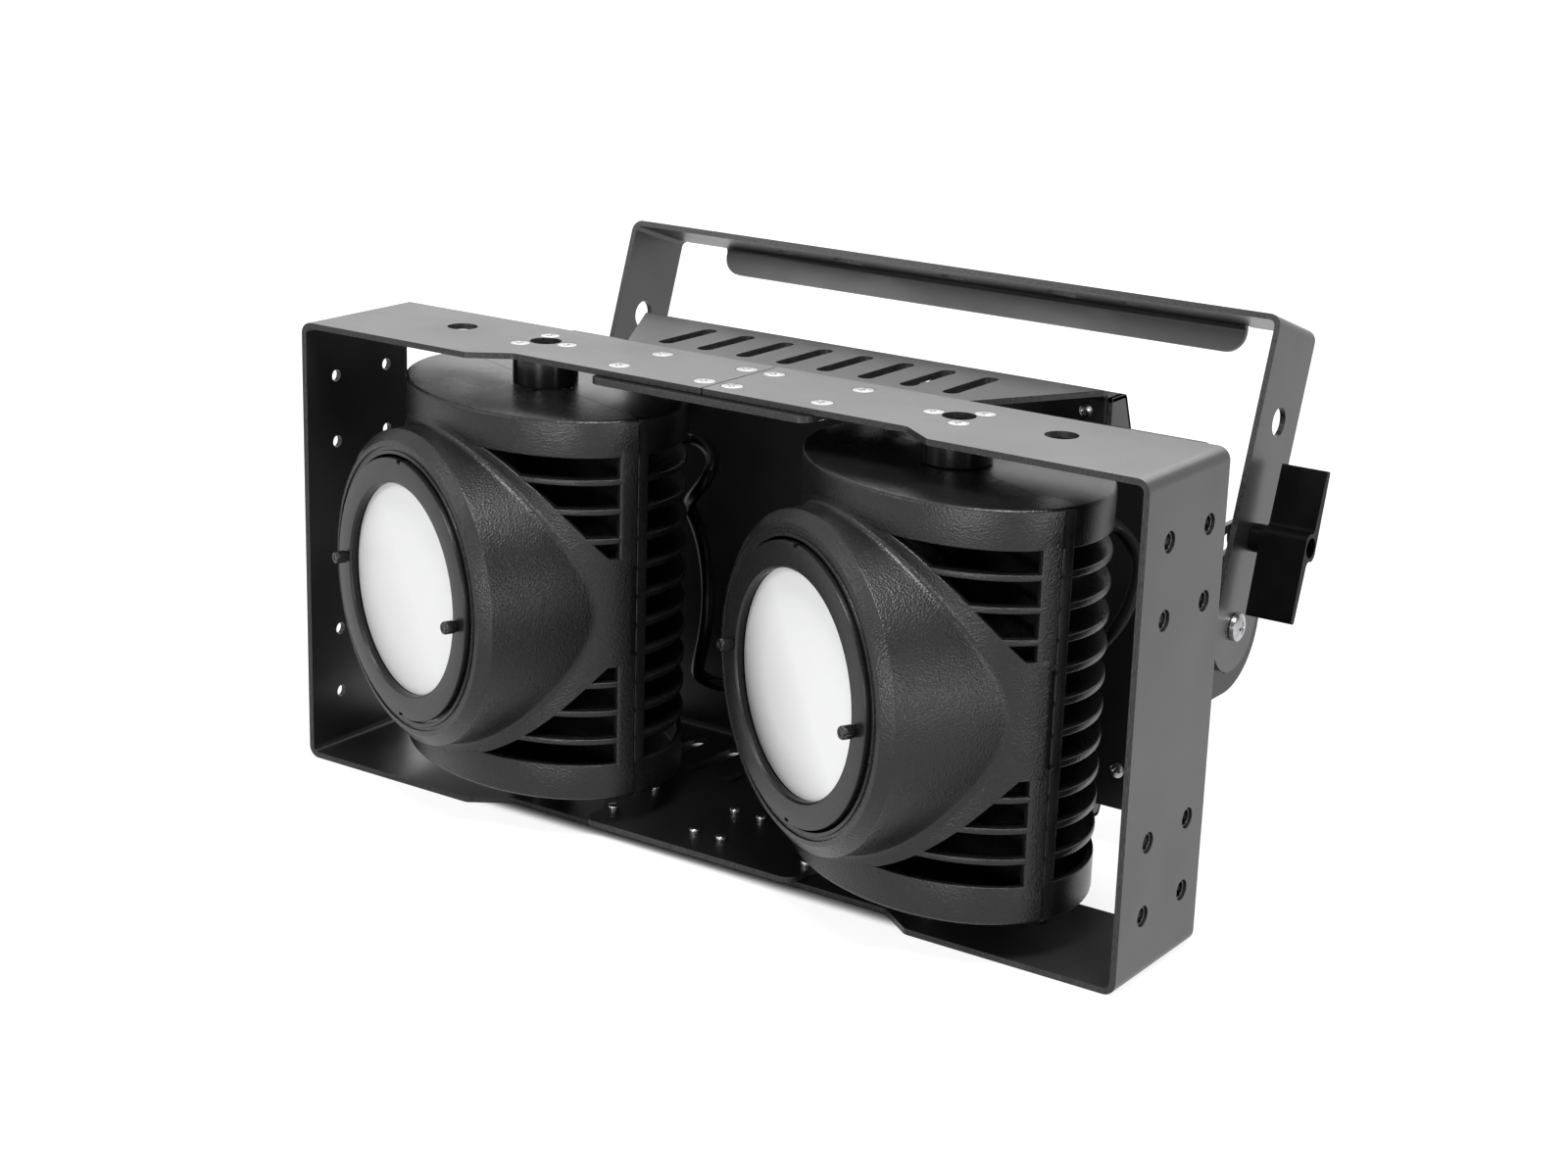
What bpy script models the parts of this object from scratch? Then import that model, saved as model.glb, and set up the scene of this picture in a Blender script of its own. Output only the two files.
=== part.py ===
"""Audience blinder with two swivelling lamp heads in a folded sheet-metal frame.

While modelling, X points right, Y to the back and Z up, and the origin is the middle of the
frame's front opening. At the end everything is moved so that the world origin lies under the
middle of the object, on the surface that it stands on. All sizes are in metres.
"""

from math import asin, atan2, cos, hypot, pi, radians, sin, sqrt, tan

import bmesh
import bpy
from mathutils import Matrix, Vector

# Fits
GAP = 0.0003                    # air between two pieces that touch
SINK_CLEARANCE = 0.00015        # round a countersunk screw's cone

# Frame: two folded halves that meet at the middle
FRAME_WIDTH = 0.420
FRAME_HEIGHT = 0.204
FRAME_DEPTH = 0.066
FRAME_SHEET = 0.0026
FRAME_BEND = 0.0053             # outer radius of the corners
FRAME_SEAM = 0.0006
RECESS_DEPTH = 0.012            # front edge set back over the lamps
RECESS_HALF_WIDTH = 0.0985
RECESS_SLANT = 0.0165
SIDE_HOLE_DEPTHS = (0.019, 0.052)
SIDE_HOLE_HEIGHTS = (0.0748, 0.0444)
SIDE_HOLE_RADIUS = 0.00275
ACCESS_HOLE_X = 0.151
ACCESS_HOLE_Y = 0.040
ACCESS_HOLE_RADIUS = 0.00675
PAN_HOLE_RADIUS = 0.0069

PRESS_NUT_HOLE_RADIUS = 0.0045  # right side plate

# Countersunk screws' holes
SPLICE_HEAD_RADIUS = 0.0047
SPLICE_SHANK_RADIUS = 0.0025
SPLICE_X = (0.007, 0.051)
SPLICE_Y = (0.024, 0.054)
BOSS_HEAD_RADIUS = 0.0044
BOSS_SCREW_SHANK_RADIUS = 0.0018
BOSS_SCREW_CIRCLE = 0.0118
BOSS_SCREW_LENGTH = 0.0100

# Rear chassis: one folded sheet with roof, back plate, floor, wings and ears
CHASSIS_SHEET = 0.0026
CHASSIS_BEND = 0.0053
CHASSIS_REAR = 0.1372           # rear face of the back plate
TONGUE_FRONT = 0.007
TONGUE_HALF_WIDTH = 0.055
FLARE_START = 0.021
FLARE_SLOPE = 0.581             # widening of the roof for each unit of depth
TONGUE_CORNER = 0.006
SLOT_COUNT = 8
SLOT_PITCH = 0.0209
SLOT_WIDTH = 0.0072
SLOT_FRONT = 0.083
SLOT_REAR = 0.1218
WING_HALF_HEIGHT = 0.0836
WING_CORNER = 0.003
NOTCH = 0.0012                  # relief beside a bend

# Yoke pivot and ears
PIVOT_Y = 0.167
PIVOT_Z = -0.002
EAR_OUTER_X = 0.1684
EAR_RADIUS = 0.0308
EAR_WALL = 0.0028               # metal outside the arc slot
CLAMP_RADIUS = 0.039            # clamp bolt from the pivot
YOKE_LEAN = 18.5                # degrees back from upright, at rest
LEAN_FORWARD = 30.0
LEAN_BACKWARD = 60.0
SLOT_OVERRUN = 2.0              # degrees of free slot past each end of the travel
ARC_SLOT_CLEARANCE = 0.0005     # on each side of the clamp bolt
CABLE_TIE_HOLE_RADIUS = 0.004
CABLE_TIE_HOLE_DROP = 0.0176

# Yoke
YOKE_SHEET = 0.0026
YOKE_BEND = 0.0053
YOKE_REACH = 0.132              # pivot to the crossbar's outer face
YOKE_HALF_WIDTH = 0.020
LIP_HALF_LENGTH = 0.1395
LIP_DEPTH = 0.015
LIP_CORNER = 0.009
CROSSBAR_HOLES = ((0.0, 0.0065), (0.0575, 0.0082), (0.092, 0.0055))
ARM_HOLE_RADIUS = 0.0065
ARM_HOLE_REACH = 0.089
PIVOT_SHANK_RADIUS = 0.0039
PIVOT_HEAD_RADIUS = 0.0060
PIVOT_HEAD_HEIGHT = 0.0036
PIVOT_NUT_RADIUS = 0.0072
PIVOT_NUT_THICKNESS = 0.0050
PIVOT_TAIL = 0.0020             # thread past the nut

# Clamp bolts and wing knobs
CLAMP_SHANK_RADIUS = 0.0040
CLAMP_HEAD_RADIUS = 0.0068
CLAMP_HEAD_HEIGHT = 0.0040
CLAMP_BORE_CLEARANCE = 0.0004
CLAMP_TAIL = 0.0075             # bolt end below the knob's outer face
KNOB_HUB_RADIUS = 0.0063
KNOB_HUB_LENGTH = 0.0049
KNOB_WING_LENGTH = 0.0332
KNOB_WING_THICKNESS = 0.0060
KNOB_WING_WIDTH = 0.0210
KNOB_FILLET = 0.0032

# Lamp heads
LAMP_PITCH = 0.209
PAN_AXIS_Y = 0.041
LEFT_PAN = 20.2                 # degrees towards -X at rest
RIGHT_PAN = 26.7
DRUM_SHOULDER = 0.0037          # drum's half width past the snout
DRUM_FORE_RADIUS = 0.0555
CAST_WALL = 0.003
CAP_THICKNESS = 0.004
CAP_SKIRT = 0.016
FIN_COUNT = 10
FIN_THICKNESS = 0.003
FIN_MARGIN = 0.010485           # cap's lower edge to the middle of the first fin
BASE_THICKNESS = 0.005

# Front shell's louvres
POST_DEPTH = 0.008
RIB_THICKNESS = 0.0025
WINDOW_MARGIN = 0.0159          # closed wall over the uppermost louvre
WINDOW_SILL = 0.004895          # above the middle of the second fin from the middle
WINDOW_ARC_MARGIN = 0.0014      # round the snout's root
WINDOW_ARC_SHIFT = 0.0045

# Snout and lens, as distances in front of the pan axis
SNOUT_MARGIN = 0.0112           # from the drum's end to the snout's root
SNOUT_TAPER = 0.0033
SNOUT_ROOT = 0.012
SNOUT_SHOULDER = 0.0646
SNOUT_FRONT = 0.070
SNOUT_WALL = 0.0034
BEZEL_CHAMFER = 0.007
BEZEL_LAND = 0.0035
LENS_OVERLAP = 0.0005           # behind the ring's inner edge
LENS_THICKNESS = 0.0028
LENS_LEDGE = 0.0018
FLANGE_THICKNESS = 0.0041
RING_CLEARANCE = 0.0012
RING_WIDTH = 0.0109
RING_THICKNESS = 0.0035
RING_PROUD = 0.002
NOTCH_WIDTH = 0.003
NOTCH_DEPTH = 0.0013
THUMBSCREW_INSET = 0.0032       # from the ring's inner edge
THUMBSCREW_TURN = 3.0           # degrees below level
THUMBSCREW_RADIUS = 0.00275
THUMBSCREW_LENGTH = 0.0085
THUMBSCREW_SHANK_RADIUS = 0.0014

# Light engine
MODULE_RADIUS = 0.032
MODULE_THICKNESS = 0.0022
EMITTER_RADIUS = 0.014
EMITTER_THICKNESS = 0.0012
REFLECTOR_ROOT_RADIUS = 0.0175
REFLECTOR_MARGIN = 0.0009       # from the lens's edge to the cone's mouth
REFLECTOR_WALL = 0.0012
REFLECTOR_RIM = 0.004

# Pan bearings
BEARING_ROOM = 0.0159           # between a head's cap and the frame
BOSS_RADIUS = 0.0143
PIN_RADIUS = 0.0050
PIN_FLANGE_RADIUS = 0.0085
PIN_FLANGE_THICKNESS = 0.002
PIN_DROP = 0.002                # pin's end below the boss's face
LOCK_SCREW_RADIUS = 0.0022
LOCK_SCREW_LENGTH = 0.0080
LOCK_SCREW_HEIGHT = 0.0049      # above the boss's lower face

# Lamp leads
LEAD_RADIUS = 0.003
LEAD_STEP = 0.008
GLAND_HEIGHT = 0.0507
GLAND_RADIUS = 0.0070
GLAND_LENGTH = 0.0095
GLAND_SEAT_RADIUS = 0.0080
GLAND_SEAT_REACH = 0.0568
GROMMET_NECK_RADIUS = 0.0050
GROMMET_RIM_RADIUS = 0.0070
GROMMET_RIM = 0.0018
LEFT_GROMMET = (-0.0385, -0.064)
RIGHT_GROMMET = (0.104, -0.030)

# Electronics cover and what it holds
COVER_LEFT = -0.057
COVER_RIGHT = 0.1215
COVER_HALF_HEIGHT = 0.095
COVER_SHOULDER = 0.150          # depth where the slopes begin
COVER_REAR = 0.172
COVER_FLAT_HALF_HEIGHT = 0.038
COVER_WALL = 0.002
COVER_RETURN = 0.008            # inner flange round the mouth
COVER_SCREW_INSET = 0.0062
COVER_SCREW_COLUMNS = (-0.047, 0.032, 0.111)
COVER_SCREW_SHANK_RADIUS = 0.0017
PANEL_SCREW_X = 0.137
PANEL_SCREW_Z = 0.066
PANEL_SCREW_SHANK_RADIUS = 0.0023

SUPPLY_LEFT = -0.028
SUPPLY_WIDTH = 0.084
SUPPLY_HEIGHT = 0.100
SUPPLY_DEPTH = 0.0205
BOARD_THICKNESS = 0.0016
DRIVER_LEFT = 0.062
DRIVER_WIDTH = 0.046
DRIVER_HEIGHT = 0.110
DRIVER_STANDOFF = 0.005
STANDOFF_RADIUS = 0.0028
STANDOFF_INSET = 0.005
CONTROL_X = 0.030
CONTROL_Z = -0.002
CONTROL_WIDTH = 0.066
CONTROL_HEIGHT = 0.058
CONTROL_STANDOFF = 0.004
WINDOW_X = 0.030
WINDOW_Z = 0.008
WINDOW_WIDTH = 0.052
WINDOW_HEIGHT = 0.024
WINDOW_CORNER = 0.002
BUTTON_COUNT = 4
BUTTON_PITCH = 0.014
BUTTON_X = 0.030
BUTTON_Z = -0.020
BUTTON_RADIUS = 0.0040
BUTTON_COLLAR_RADIUS = 0.0052
BUTTON_COLLAR = 0.0012
BUTTON_PROUD = 0.0018
CONNECTOR_Y = 0.1502
CONNECTOR_PITCH = 0.0305
CONNECTOR_WIDTH = 0.024
CONNECTOR_HEIGHT = 0.029
CONNECTOR_FLANGE = 0.002
CONNECTOR_CORNER = 0.003
CONNECTOR_BARREL_RADIUS = 0.0103
CONNECTOR_PROUD = 0.006
CONNECTOR_INSIDE = 0.020
CONNECTOR_BORE_RADIUS = 0.0080
CONNECTOR_BORE_DEPTH = 0.014
FUSE_X = 0.090
FUSE_Z = 0.000
FUSE_CAP_RADIUS = 0.0080
FUSE_CAP_HEIGHT = 0.006
FUSE_BODY_RADIUS = 0.0062
FUSE_BODY_LENGTH = 0.014
EYE_X = -0.105
EYE_Z = 0.060
EYE_RING_RADIUS = 0.011
EYE_WIRE_RADIUS = 0.0025
EYE_BASE_RADIUS = 0.0080
EYE_BASE_THICKNESS = 0.003
EYE_STUD_RADIUS = 0.0039
EYE_NUT_RADIUS = 0.0072
EYE_NUT_THICKNESS = 0.0050

# Facets
BEND_STEPS = 3
CORNER_STEPS = 2
SCREW_STEPS = 6
HOLE_STEPS = 8
BORE_STEPS = 14
BOSS_STEPS = 16
SNOUT_STEPS = 32
OVAL_STEPS = 14
ARC_STEPS = 7

# Values that follow from the sizes above
FRAME_INNER = FRAME_HEIGHT / 2 - FRAME_SHEET
DRUM_HALF_HEIGHT = FRAME_INNER - BEARING_ROOM
SNOUT_ROOT_RADIUS = DRUM_HALF_HEIGHT - SNOUT_MARGIN
SNOUT_FRONT_RADIUS = SNOUT_ROOT_RADIUS - SNOUT_TAPER
DRUM_SIDE_RADIUS = SNOUT_ROOT_RADIUS + DRUM_SHOULDER
WINDOW_ARC_RADIUS = SNOUT_ROOT_RADIUS + WINDOW_ARC_MARGIN
BEZEL_FACE_RADIUS = SNOUT_FRONT_RADIUS - BEZEL_CHAMFER
BEZEL_BORE_RADIUS = BEZEL_FACE_RADIUS - BEZEL_LAND
RING_OUTER_RADIUS = BEZEL_BORE_RADIUS - RING_CLEARANCE
RING_INNER_RADIUS = RING_OUTER_RADIUS - RING_WIDTH
LENS_RADIUS = RING_INNER_RADIUS + LENS_OVERLAP
THUMBSCREW_CIRCLE = RING_INNER_RADIUS + THUMBSCREW_INSET
REFLECTOR_MOUTH_RADIUS = LENS_RADIUS - REFLECTOR_MARGIN
FIN_PITCH = 2 * (DRUM_HALF_HEIGHT - CAP_SKIRT - FIN_MARGIN) / (FIN_COUNT - 1)
WINDOW_TOP = DRUM_HALF_HEIGHT - WINDOW_MARGIN
WINDOW_BOTTOM = 1.5 * FIN_PITCH + WINDOW_SILL
ROOF_TOP = FRAME_INNER - GAP
CHASSIS_FRONT = CHASSIS_REAR - CHASSIS_SHEET
BEHIND_PLATE = CHASSIS_REAR + GAP
ARM_OUTER_X = EAR_OUTER_X + GAP + YOKE_SHEET
SEAM = GAP / 2
PIVOT_HOLE_RADIUS = PIVOT_SHANK_RADIUS + GAP
CLAMP_HOLE_RADIUS = CLAMP_SHANK_RADIUS + GAP
ARC_SLOT_RADIUS = CLAMP_SHANK_RADIUS + ARC_SLOT_CLEARANCE
LOBE_RADIUS = CLAMP_RADIUS + ARC_SLOT_RADIUS + EAR_WALL
RING_FRONT = SNOUT_FRONT + RING_PROUD
RING_BACK = RING_FRONT - RING_THICKNESS
RING_SEAT = RING_BACK - GAP
LENS_SEAT = RING_SEAT - LENS_THICKNESS - GAP
FLANGE_BACK = LENS_SEAT - FLANGE_THICKNESS
LENS_OPENING_RADIUS = LENS_RADIUS - LENS_LEDGE
SHANK_HOLE_RADIUS = THUMBSCREW_SHANK_RADIUS + GAP
THUMBSCREW_END = FLANGE_BACK + GAP
COVER_MOUTH = BEHIND_PLATE + COVER_WALL
KNOB_INNER_X = ARM_OUTER_X + GAP

FACE_FRONT = Matrix.Rotation(pi / 2, 4, "X")      # a piece made along +Z now points to -Y
FACE_REAR = Matrix.Rotation(-pi / 2, 4, "X")
FACE_RIGHT = Matrix.Rotation(pi / 2, 4, "Y")
FACE_LEFT = Matrix.Rotation(-pi / 2, 4, "Y")
UPSIDE_DOWN = Matrix.Rotation(pi, 4, "X")

# Colour, roughness and metallic value of each finish
POWDER_COAT = ((0.020, 0.020, 0.021), 0.45, 0.0)
CAST_BLACK = ((0.024, 0.024, 0.025), 0.50, 0.0)
TURNED_BLACK = ((0.015, 0.015, 0.016), 0.30, 0.5)
ZINC = ((0.62, 0.62, 0.64), 0.28, 1.0)
BLACK_STEEL = ((0.03, 0.03, 0.032), 0.35, 0.8)
ALUMINIUM = ((0.75, 0.76, 0.78), 0.30, 1.0)
BLACK_PLASTIC = ((0.012, 0.012, 0.013), 0.55, 0.0)
BLUE_PLASTIC = ((0.03, 0.10, 0.45), 0.45, 0.0)
GREY_PLASTIC = ((0.55, 0.56, 0.58), 0.45, 0.0)
RUBBER = ((0.015, 0.015, 0.015), 0.70, 0.0)
CABLE = ((0.010, 0.010, 0.011), 0.35, 0.0)
OPAL_LENS = ((0.88, 0.89, 0.91), 0.55, 0.0)
DARK_GLASS = ((0.02, 0.03, 0.04), 0.10, 0.0)
BOARD_GREEN = ((0.02, 0.16, 0.07), 0.50, 0.0)
EMITTER_YELLOW = ((0.85, 0.70, 0.18), 0.50, 0.0)


def clear_scene():
    """Removes whatever the file opened with."""
    for leftover in list(bpy.data.objects):
        bpy.data.objects.remove(leftover)


def finish(name, look):
    """One Principled material for one sub-part."""
    colour, roughness, metallic = look
    material = bpy.data.materials.new(name)
    material.use_nodes = True
    shader = material.node_tree.nodes["Principled BSDF"]
    shader.inputs["Base Color"].default_value = (*colour, 1.0)
    shader.inputs["Roughness"].default_value = roughness
    shader.inputs["Metallic"].default_value = metallic
    return material


def empty(name, location=(0, 0, 0), rotation=(0, 0, 0), parent=None):
    """An empty that carries the pieces which move, or stand, together."""
    carrier = bpy.data.objects.new(name, None)
    carrier.location = location
    carrier.rotation_euler = rotation
    carrier.parent = parent
    bpy.context.scene.collection.objects.link(carrier)
    return carrier


def place(name, shape, look, parent, matrix=None):
    """Names a mesh or curve, gives it its finish and hangs it on its carrier.

    A mesh that several pieces share keeps the finish of the first of them.
    """
    piece = bpy.data.objects.new(name, shape)
    piece.parent = parent
    if matrix is not None:
        piece.matrix_basis = matrix
    if not shape.materials:
        shape.materials.append(finish(name, look))
    bpy.context.scene.collection.objects.link(piece)
    if isinstance(shape, bpy.types.Mesh):
        shape.shade_smooth()
        shape.set_sharp_from_angle(angle=radians(30))
    return piece


def to_mesh(bm):
    """Turns a BMesh into a mesh as it is."""
    mesh = bpy.data.meshes.new("shape")
    bm.to_mesh(mesh)
    bm.free()
    return mesh


def mesh_from(bm, matrix=None):
    """Turns a BMesh of one body into a mesh with its faces pointing out."""
    if matrix is not None:
        bm.transform(matrix)
    bmesh.ops.recalc_face_normals(bm, faces=bm.faces[:])
    if bm.calc_volume(signed=True) < 0:
        bmesh.ops.reverse_faces(bm, faces=bm.faces[:])
    return to_mesh(bm)


def joined(*meshes):
    """One mesh of several shapes that do not touch each other."""
    bm = bmesh.new()
    for mesh in meshes:
        bm.from_mesh(mesh)
    return to_mesh(bm)


def at(x, y, z):
    """A shift as a matrix."""
    return Matrix.Translation((x, y, z))


def carve(mesh, *steps):
    """Applies Boolean steps, each an operation and a tool mesh, and returns the result."""
    helpers = [bpy.data.objects.new("worked", mesh)]
    for operation, tool in steps:
        helper = bpy.data.objects.new("tool", tool)
        cut = helpers[0].modifiers.new(operation, "BOOLEAN")
        cut.operation = operation
        cut.object = helper
        cut.solver = "EXACT"
        helpers.append(helper)
    for helper in helpers:
        bpy.context.scene.collection.objects.link(helper)
    depsgraph = bpy.context.evaluated_depsgraph_get()
    result = bpy.data.meshes.new_from_object(helpers[0].evaluated_get(depsgraph))
    for helper in helpers:
        bpy.data.objects.remove(helper)
    return result


def arc(centre, radius, start, end, steps):
    """Points on an arc, with both ends, angles in radians."""
    turns = [start + (end - start) * step / steps for step in range(steps + 1)]
    return [(centre[0] + radius * cos(turn), centre[1] + radius * sin(turn)) for turn in turns]


def circle(centre, radius, steps=HOLE_STEPS):
    """A full circle as a closed outline."""
    return arc(centre, radius, 0, 2 * pi, steps)[:-1]


def rounded(corners):
    """Closed outline through (x, y, radius) corners, with an arc at each rounded one."""
    points = []
    for index, (x, y, radius) in enumerate(corners):
        if radius == 0:
            points.append((x, y))
            continue
        corner = Vector((x, y))
        before = (Vector(corners[index - 1][:2]) - corner).normalized()
        after = (Vector(corners[(index + 1) % len(corners)][:2]) - corner).normalized()
        half = before.angle(after) / 2
        centre = corner + (before + after).normalized() * (radius / sin(half))
        first = corner + before * (radius / tan(half)) - centre
        last = corner + after * (radius / tan(half)) - centre
        start = atan2(first.y, first.x)
        sweep = (atan2(last.y, last.x) - start + pi) % (2 * pi) - pi
        points += arc(centre, radius, start, start + sweep, CORNER_STEPS)
    return points


def rectangle(centre, width, height, corner=0.0):
    """Rectangle about a centre, with rounded corners if asked."""
    x, y = centre
    w, h = width / 2, height / 2
    return rounded([(x - w, y - h, corner), (x + w, y - h, corner),
                    (x + w, y + h, corner), (x - w, y + h, corner)])


def mirrored(points):
    """The same outline on the other side of x = 0."""
    return [(-x, y) for x, y in reversed(points)]


def plate_bm(outline, low, high, holes=(), countersinks=()):
    """Flat plate between two heights. A countersink is (centre, upper radius, lower radius)."""
    bm = bmesh.new()
    sunk = [circle(centre, upper, SCREW_STEPS) for centre, upper, lower in countersinks]
    rims = []
    for loop in [outline, *holes, *sunk]:
        rim = [bm.verts.new((x, y, low)) for x, y in loop]
        for start, end in zip(rim, rim[1:] + rim[:1]):
            bm.edges.new((start, end))
        rims.append(rim)
    bmesh.ops.triangle_fill(bm, use_beauty=True, edges=bm.edges[:])
    grown = bmesh.ops.extrude_face_region(bm, geom=bm.faces[:])
    top = [item for item in grown["geom"] if isinstance(item, bmesh.types.BMVert)]
    bmesh.ops.translate(bm, vec=(0, 0, high - low), verts=top)
    for (centre, upper, lower), rim in zip(countersinks, rims[len(rims) - len(sunk):]):
        for vert in rim:
            vert.co.x = centre[0] + (vert.co.x - centre[0]) * lower / upper
            vert.co.y = centre[1] + (vert.co.y - centre[1]) * lower / upper
    return bm


def plate(outline, low, high, holes=(), countersinks=(), matrix=None):
    """A flat plate as a mesh."""
    return mesh_from(plate_bm(outline, low, high, holes, countersinks), matrix)


def turned(profile, steps, closed=False, matrix=None):
    """Solid of revolution about Z from (radius, height) points, a ring if its profile is closed."""
    bm = bmesh.new()
    verts = [bm.verts.new((radius, 0, height)) for radius, height in profile]
    pairs = list(zip(verts, verts[1:]))
    if closed:
        pairs.append((verts[-1], verts[0]))
    edges = [bm.edges.new(pair) for pair in pairs]
    bmesh.ops.spin(bm, geom=verts + edges, axis=(0, 0, 1), cent=(0, 0, 0),
                   angle=2 * pi, steps=steps, use_merge=True)
    bmesh.ops.remove_doubles(bm, verts=bm.verts[:], dist=0.000001)
    return mesh_from(bm, matrix)


def rod(radius, low, high, steps=HOLE_STEPS, matrix=None):
    """A plain cylinder along Z."""
    return turned([(0, low), (radius, low), (radius, high), (0, high)], steps, matrix=matrix)


def bend_length(bend, sheet):
    """Length of sheet that a right-angle bend uses up, along the middle of the sheet."""
    return (bend - sheet / 2) * pi / 2


def fold(bm, along, start, bend, sheet, upward, low=-1.0, high=1.0):
    """Bends the flap that lies past `start` in the direction `along` by a right angle.

    The sheet lies in the XY plane with its middle at height 0. `low` and `high` limit the
    flap across its direction, between its relief notches.
    """
    direction = Vector((*along, 0))
    side = 1 if upward else -1
    middle = bend - sheet / 2
    length = bend_length(bend, sheet)
    for step in range(BEND_STEPS + 1):
        bmesh.ops.bisect_plane(bm, geom=bm.verts[:] + bm.edges[:] + bm.faces[:], dist=0.0000001,
                               plane_co=direction * (start + length * step / BEND_STEPS),
                               plane_no=direction)
    for vert in bm.verts:
        u = vert.co.dot(direction)
        across = vert.co.y if along[0] else vert.co.x
        if u <= start or not low < across < high:
            continue
        turn = min((u - start) / middle, pi / 2)
        extra = max(u - start - length, 0)
        arm = middle - side * vert.co.z
        vert.co += direction * (start + arm * sin(turn) + extra * cos(turn) - u)
        vert.co.z = side * (middle - arm * cos(turn) + extra * sin(turn))


# Frame

def sink(centre, head, shank):
    """Countersunk hole for a screw with this head and shank."""
    return centre, head + SINK_CLEARANCE, shank + SINK_CLEARANCE


def boss_screw_spots():
    """The three screws of a pan bearing, about its axis, one of them towards the middle."""
    return [(BOSS_SCREW_CIRCLE * cos(turn), BOSS_SCREW_CIRCLE * sin(turn))
            for turn in (0, 2 * pi / 3, 4 * pi / 3)]


def frame_half(side_hole_radius, matrix):
    """Half of the frame: a side plate whose two ends fold in and run to the middle."""
    base = FRAME_HEIGHT / 2 - FRAME_BEND
    length = bend_length(FRAME_BEND, FRAME_SHEET)

    def along(x):
        return base + length + FRAME_WIDTH / 2 - FRAME_BEND - x

    seam = along(FRAME_SEAM / 2)
    inner = along(RECESS_HALF_WIDTH)
    outer = along(RECESS_HALF_WIDTH + RECESS_SLANT)
    corner = FRAME_SHEET
    outline = rounded([
        (-seam, RECESS_DEPTH, 0), (-inner, RECESS_DEPTH, corner), (-outer, 0, corner),
        (outer, 0, corner), (inner, RECESS_DEPTH, corner), (seam, RECESS_DEPTH, 0),
        (seam, FRAME_DEPTH, 0), (-seam, FRAME_DEPTH, 0)])
    holes = [circle((sign * height, depth), side_hole_radius)
             for sign in (-1, 1) for height in SIDE_HOLE_HEIGHTS for depth in SIDE_HOLE_DEPTHS]
    sinks = []
    for sign in (-1, 1):
        pan = (sign * along(LAMP_PITCH / 2), PAN_AXIS_Y)
        holes.append(circle(pan, PAN_HOLE_RADIUS, BORE_STEPS))
        holes.append(circle((sign * along(ACCESS_HOLE_X), ACCESS_HOLE_Y), ACCESS_HOLE_RADIUS, BORE_STEPS))
        for dx, dy in boss_screw_spots():
            sinks.append(sink((pan[0] + sign * dx, pan[1] + dy), BOSS_HEAD_RADIUS, BOSS_SCREW_SHANK_RADIUS))
        for x in SPLICE_X:
            sinks += [sink((sign * along(x), y), SPLICE_HEAD_RADIUS, SPLICE_SHANK_RADIUS) for y in SPLICE_Y]
    bm = plate_bm(outline, -FRAME_SHEET / 2, FRAME_SHEET / 2, holes, sinks)
    fold(bm, (1, 0), base, FRAME_BEND, FRAME_SHEET, upward=False)
    fold(bm, (-1, 0), base, FRAME_BEND, FRAME_SHEET, upward=False)
    return mesh_from(bm, matrix)


def build_frame(datum):
    """Both frame halves."""
    reach = FRAME_WIDTH / 2 - FRAME_SHEET / 2
    to_left = Matrix(((0, 0, -1, -reach), (0, 1, 0, 0), (1, 0, 0, 0), (0, 0, 0, 1)))
    to_right = Matrix(((0, 0, 1, reach), (0, 1, 0, 0), (-1, 0, 0, 0), (0, 0, 0, 1)))
    place("frame_half_left", frame_half(SIDE_HOLE_RADIUS, to_left), POWDER_COAT, datum)
    place("frame_half_right", frame_half(PRESS_NUT_HOLE_RADIUS, to_right), POWDER_COAT, datum)


# Rear chassis

def slot_outline(x, front, rear):
    """Round-ended slot across the flat pattern, between two heights of it."""
    radius = SLOT_WIDTH / 2
    low, high = min(front, rear) + radius, max(front, rear) - radius
    return (arc((x, high), radius, 0, pi, CORNER_STEPS + 1)
            + arc((x, low), radius, pi, 2 * pi, CORNER_STEPS + 1))


def clamp_angle(lean):
    """Direction of the clamp bolt in an ear, from the rear, for a lean of the yoke."""
    return radians(90 - lean)


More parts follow.
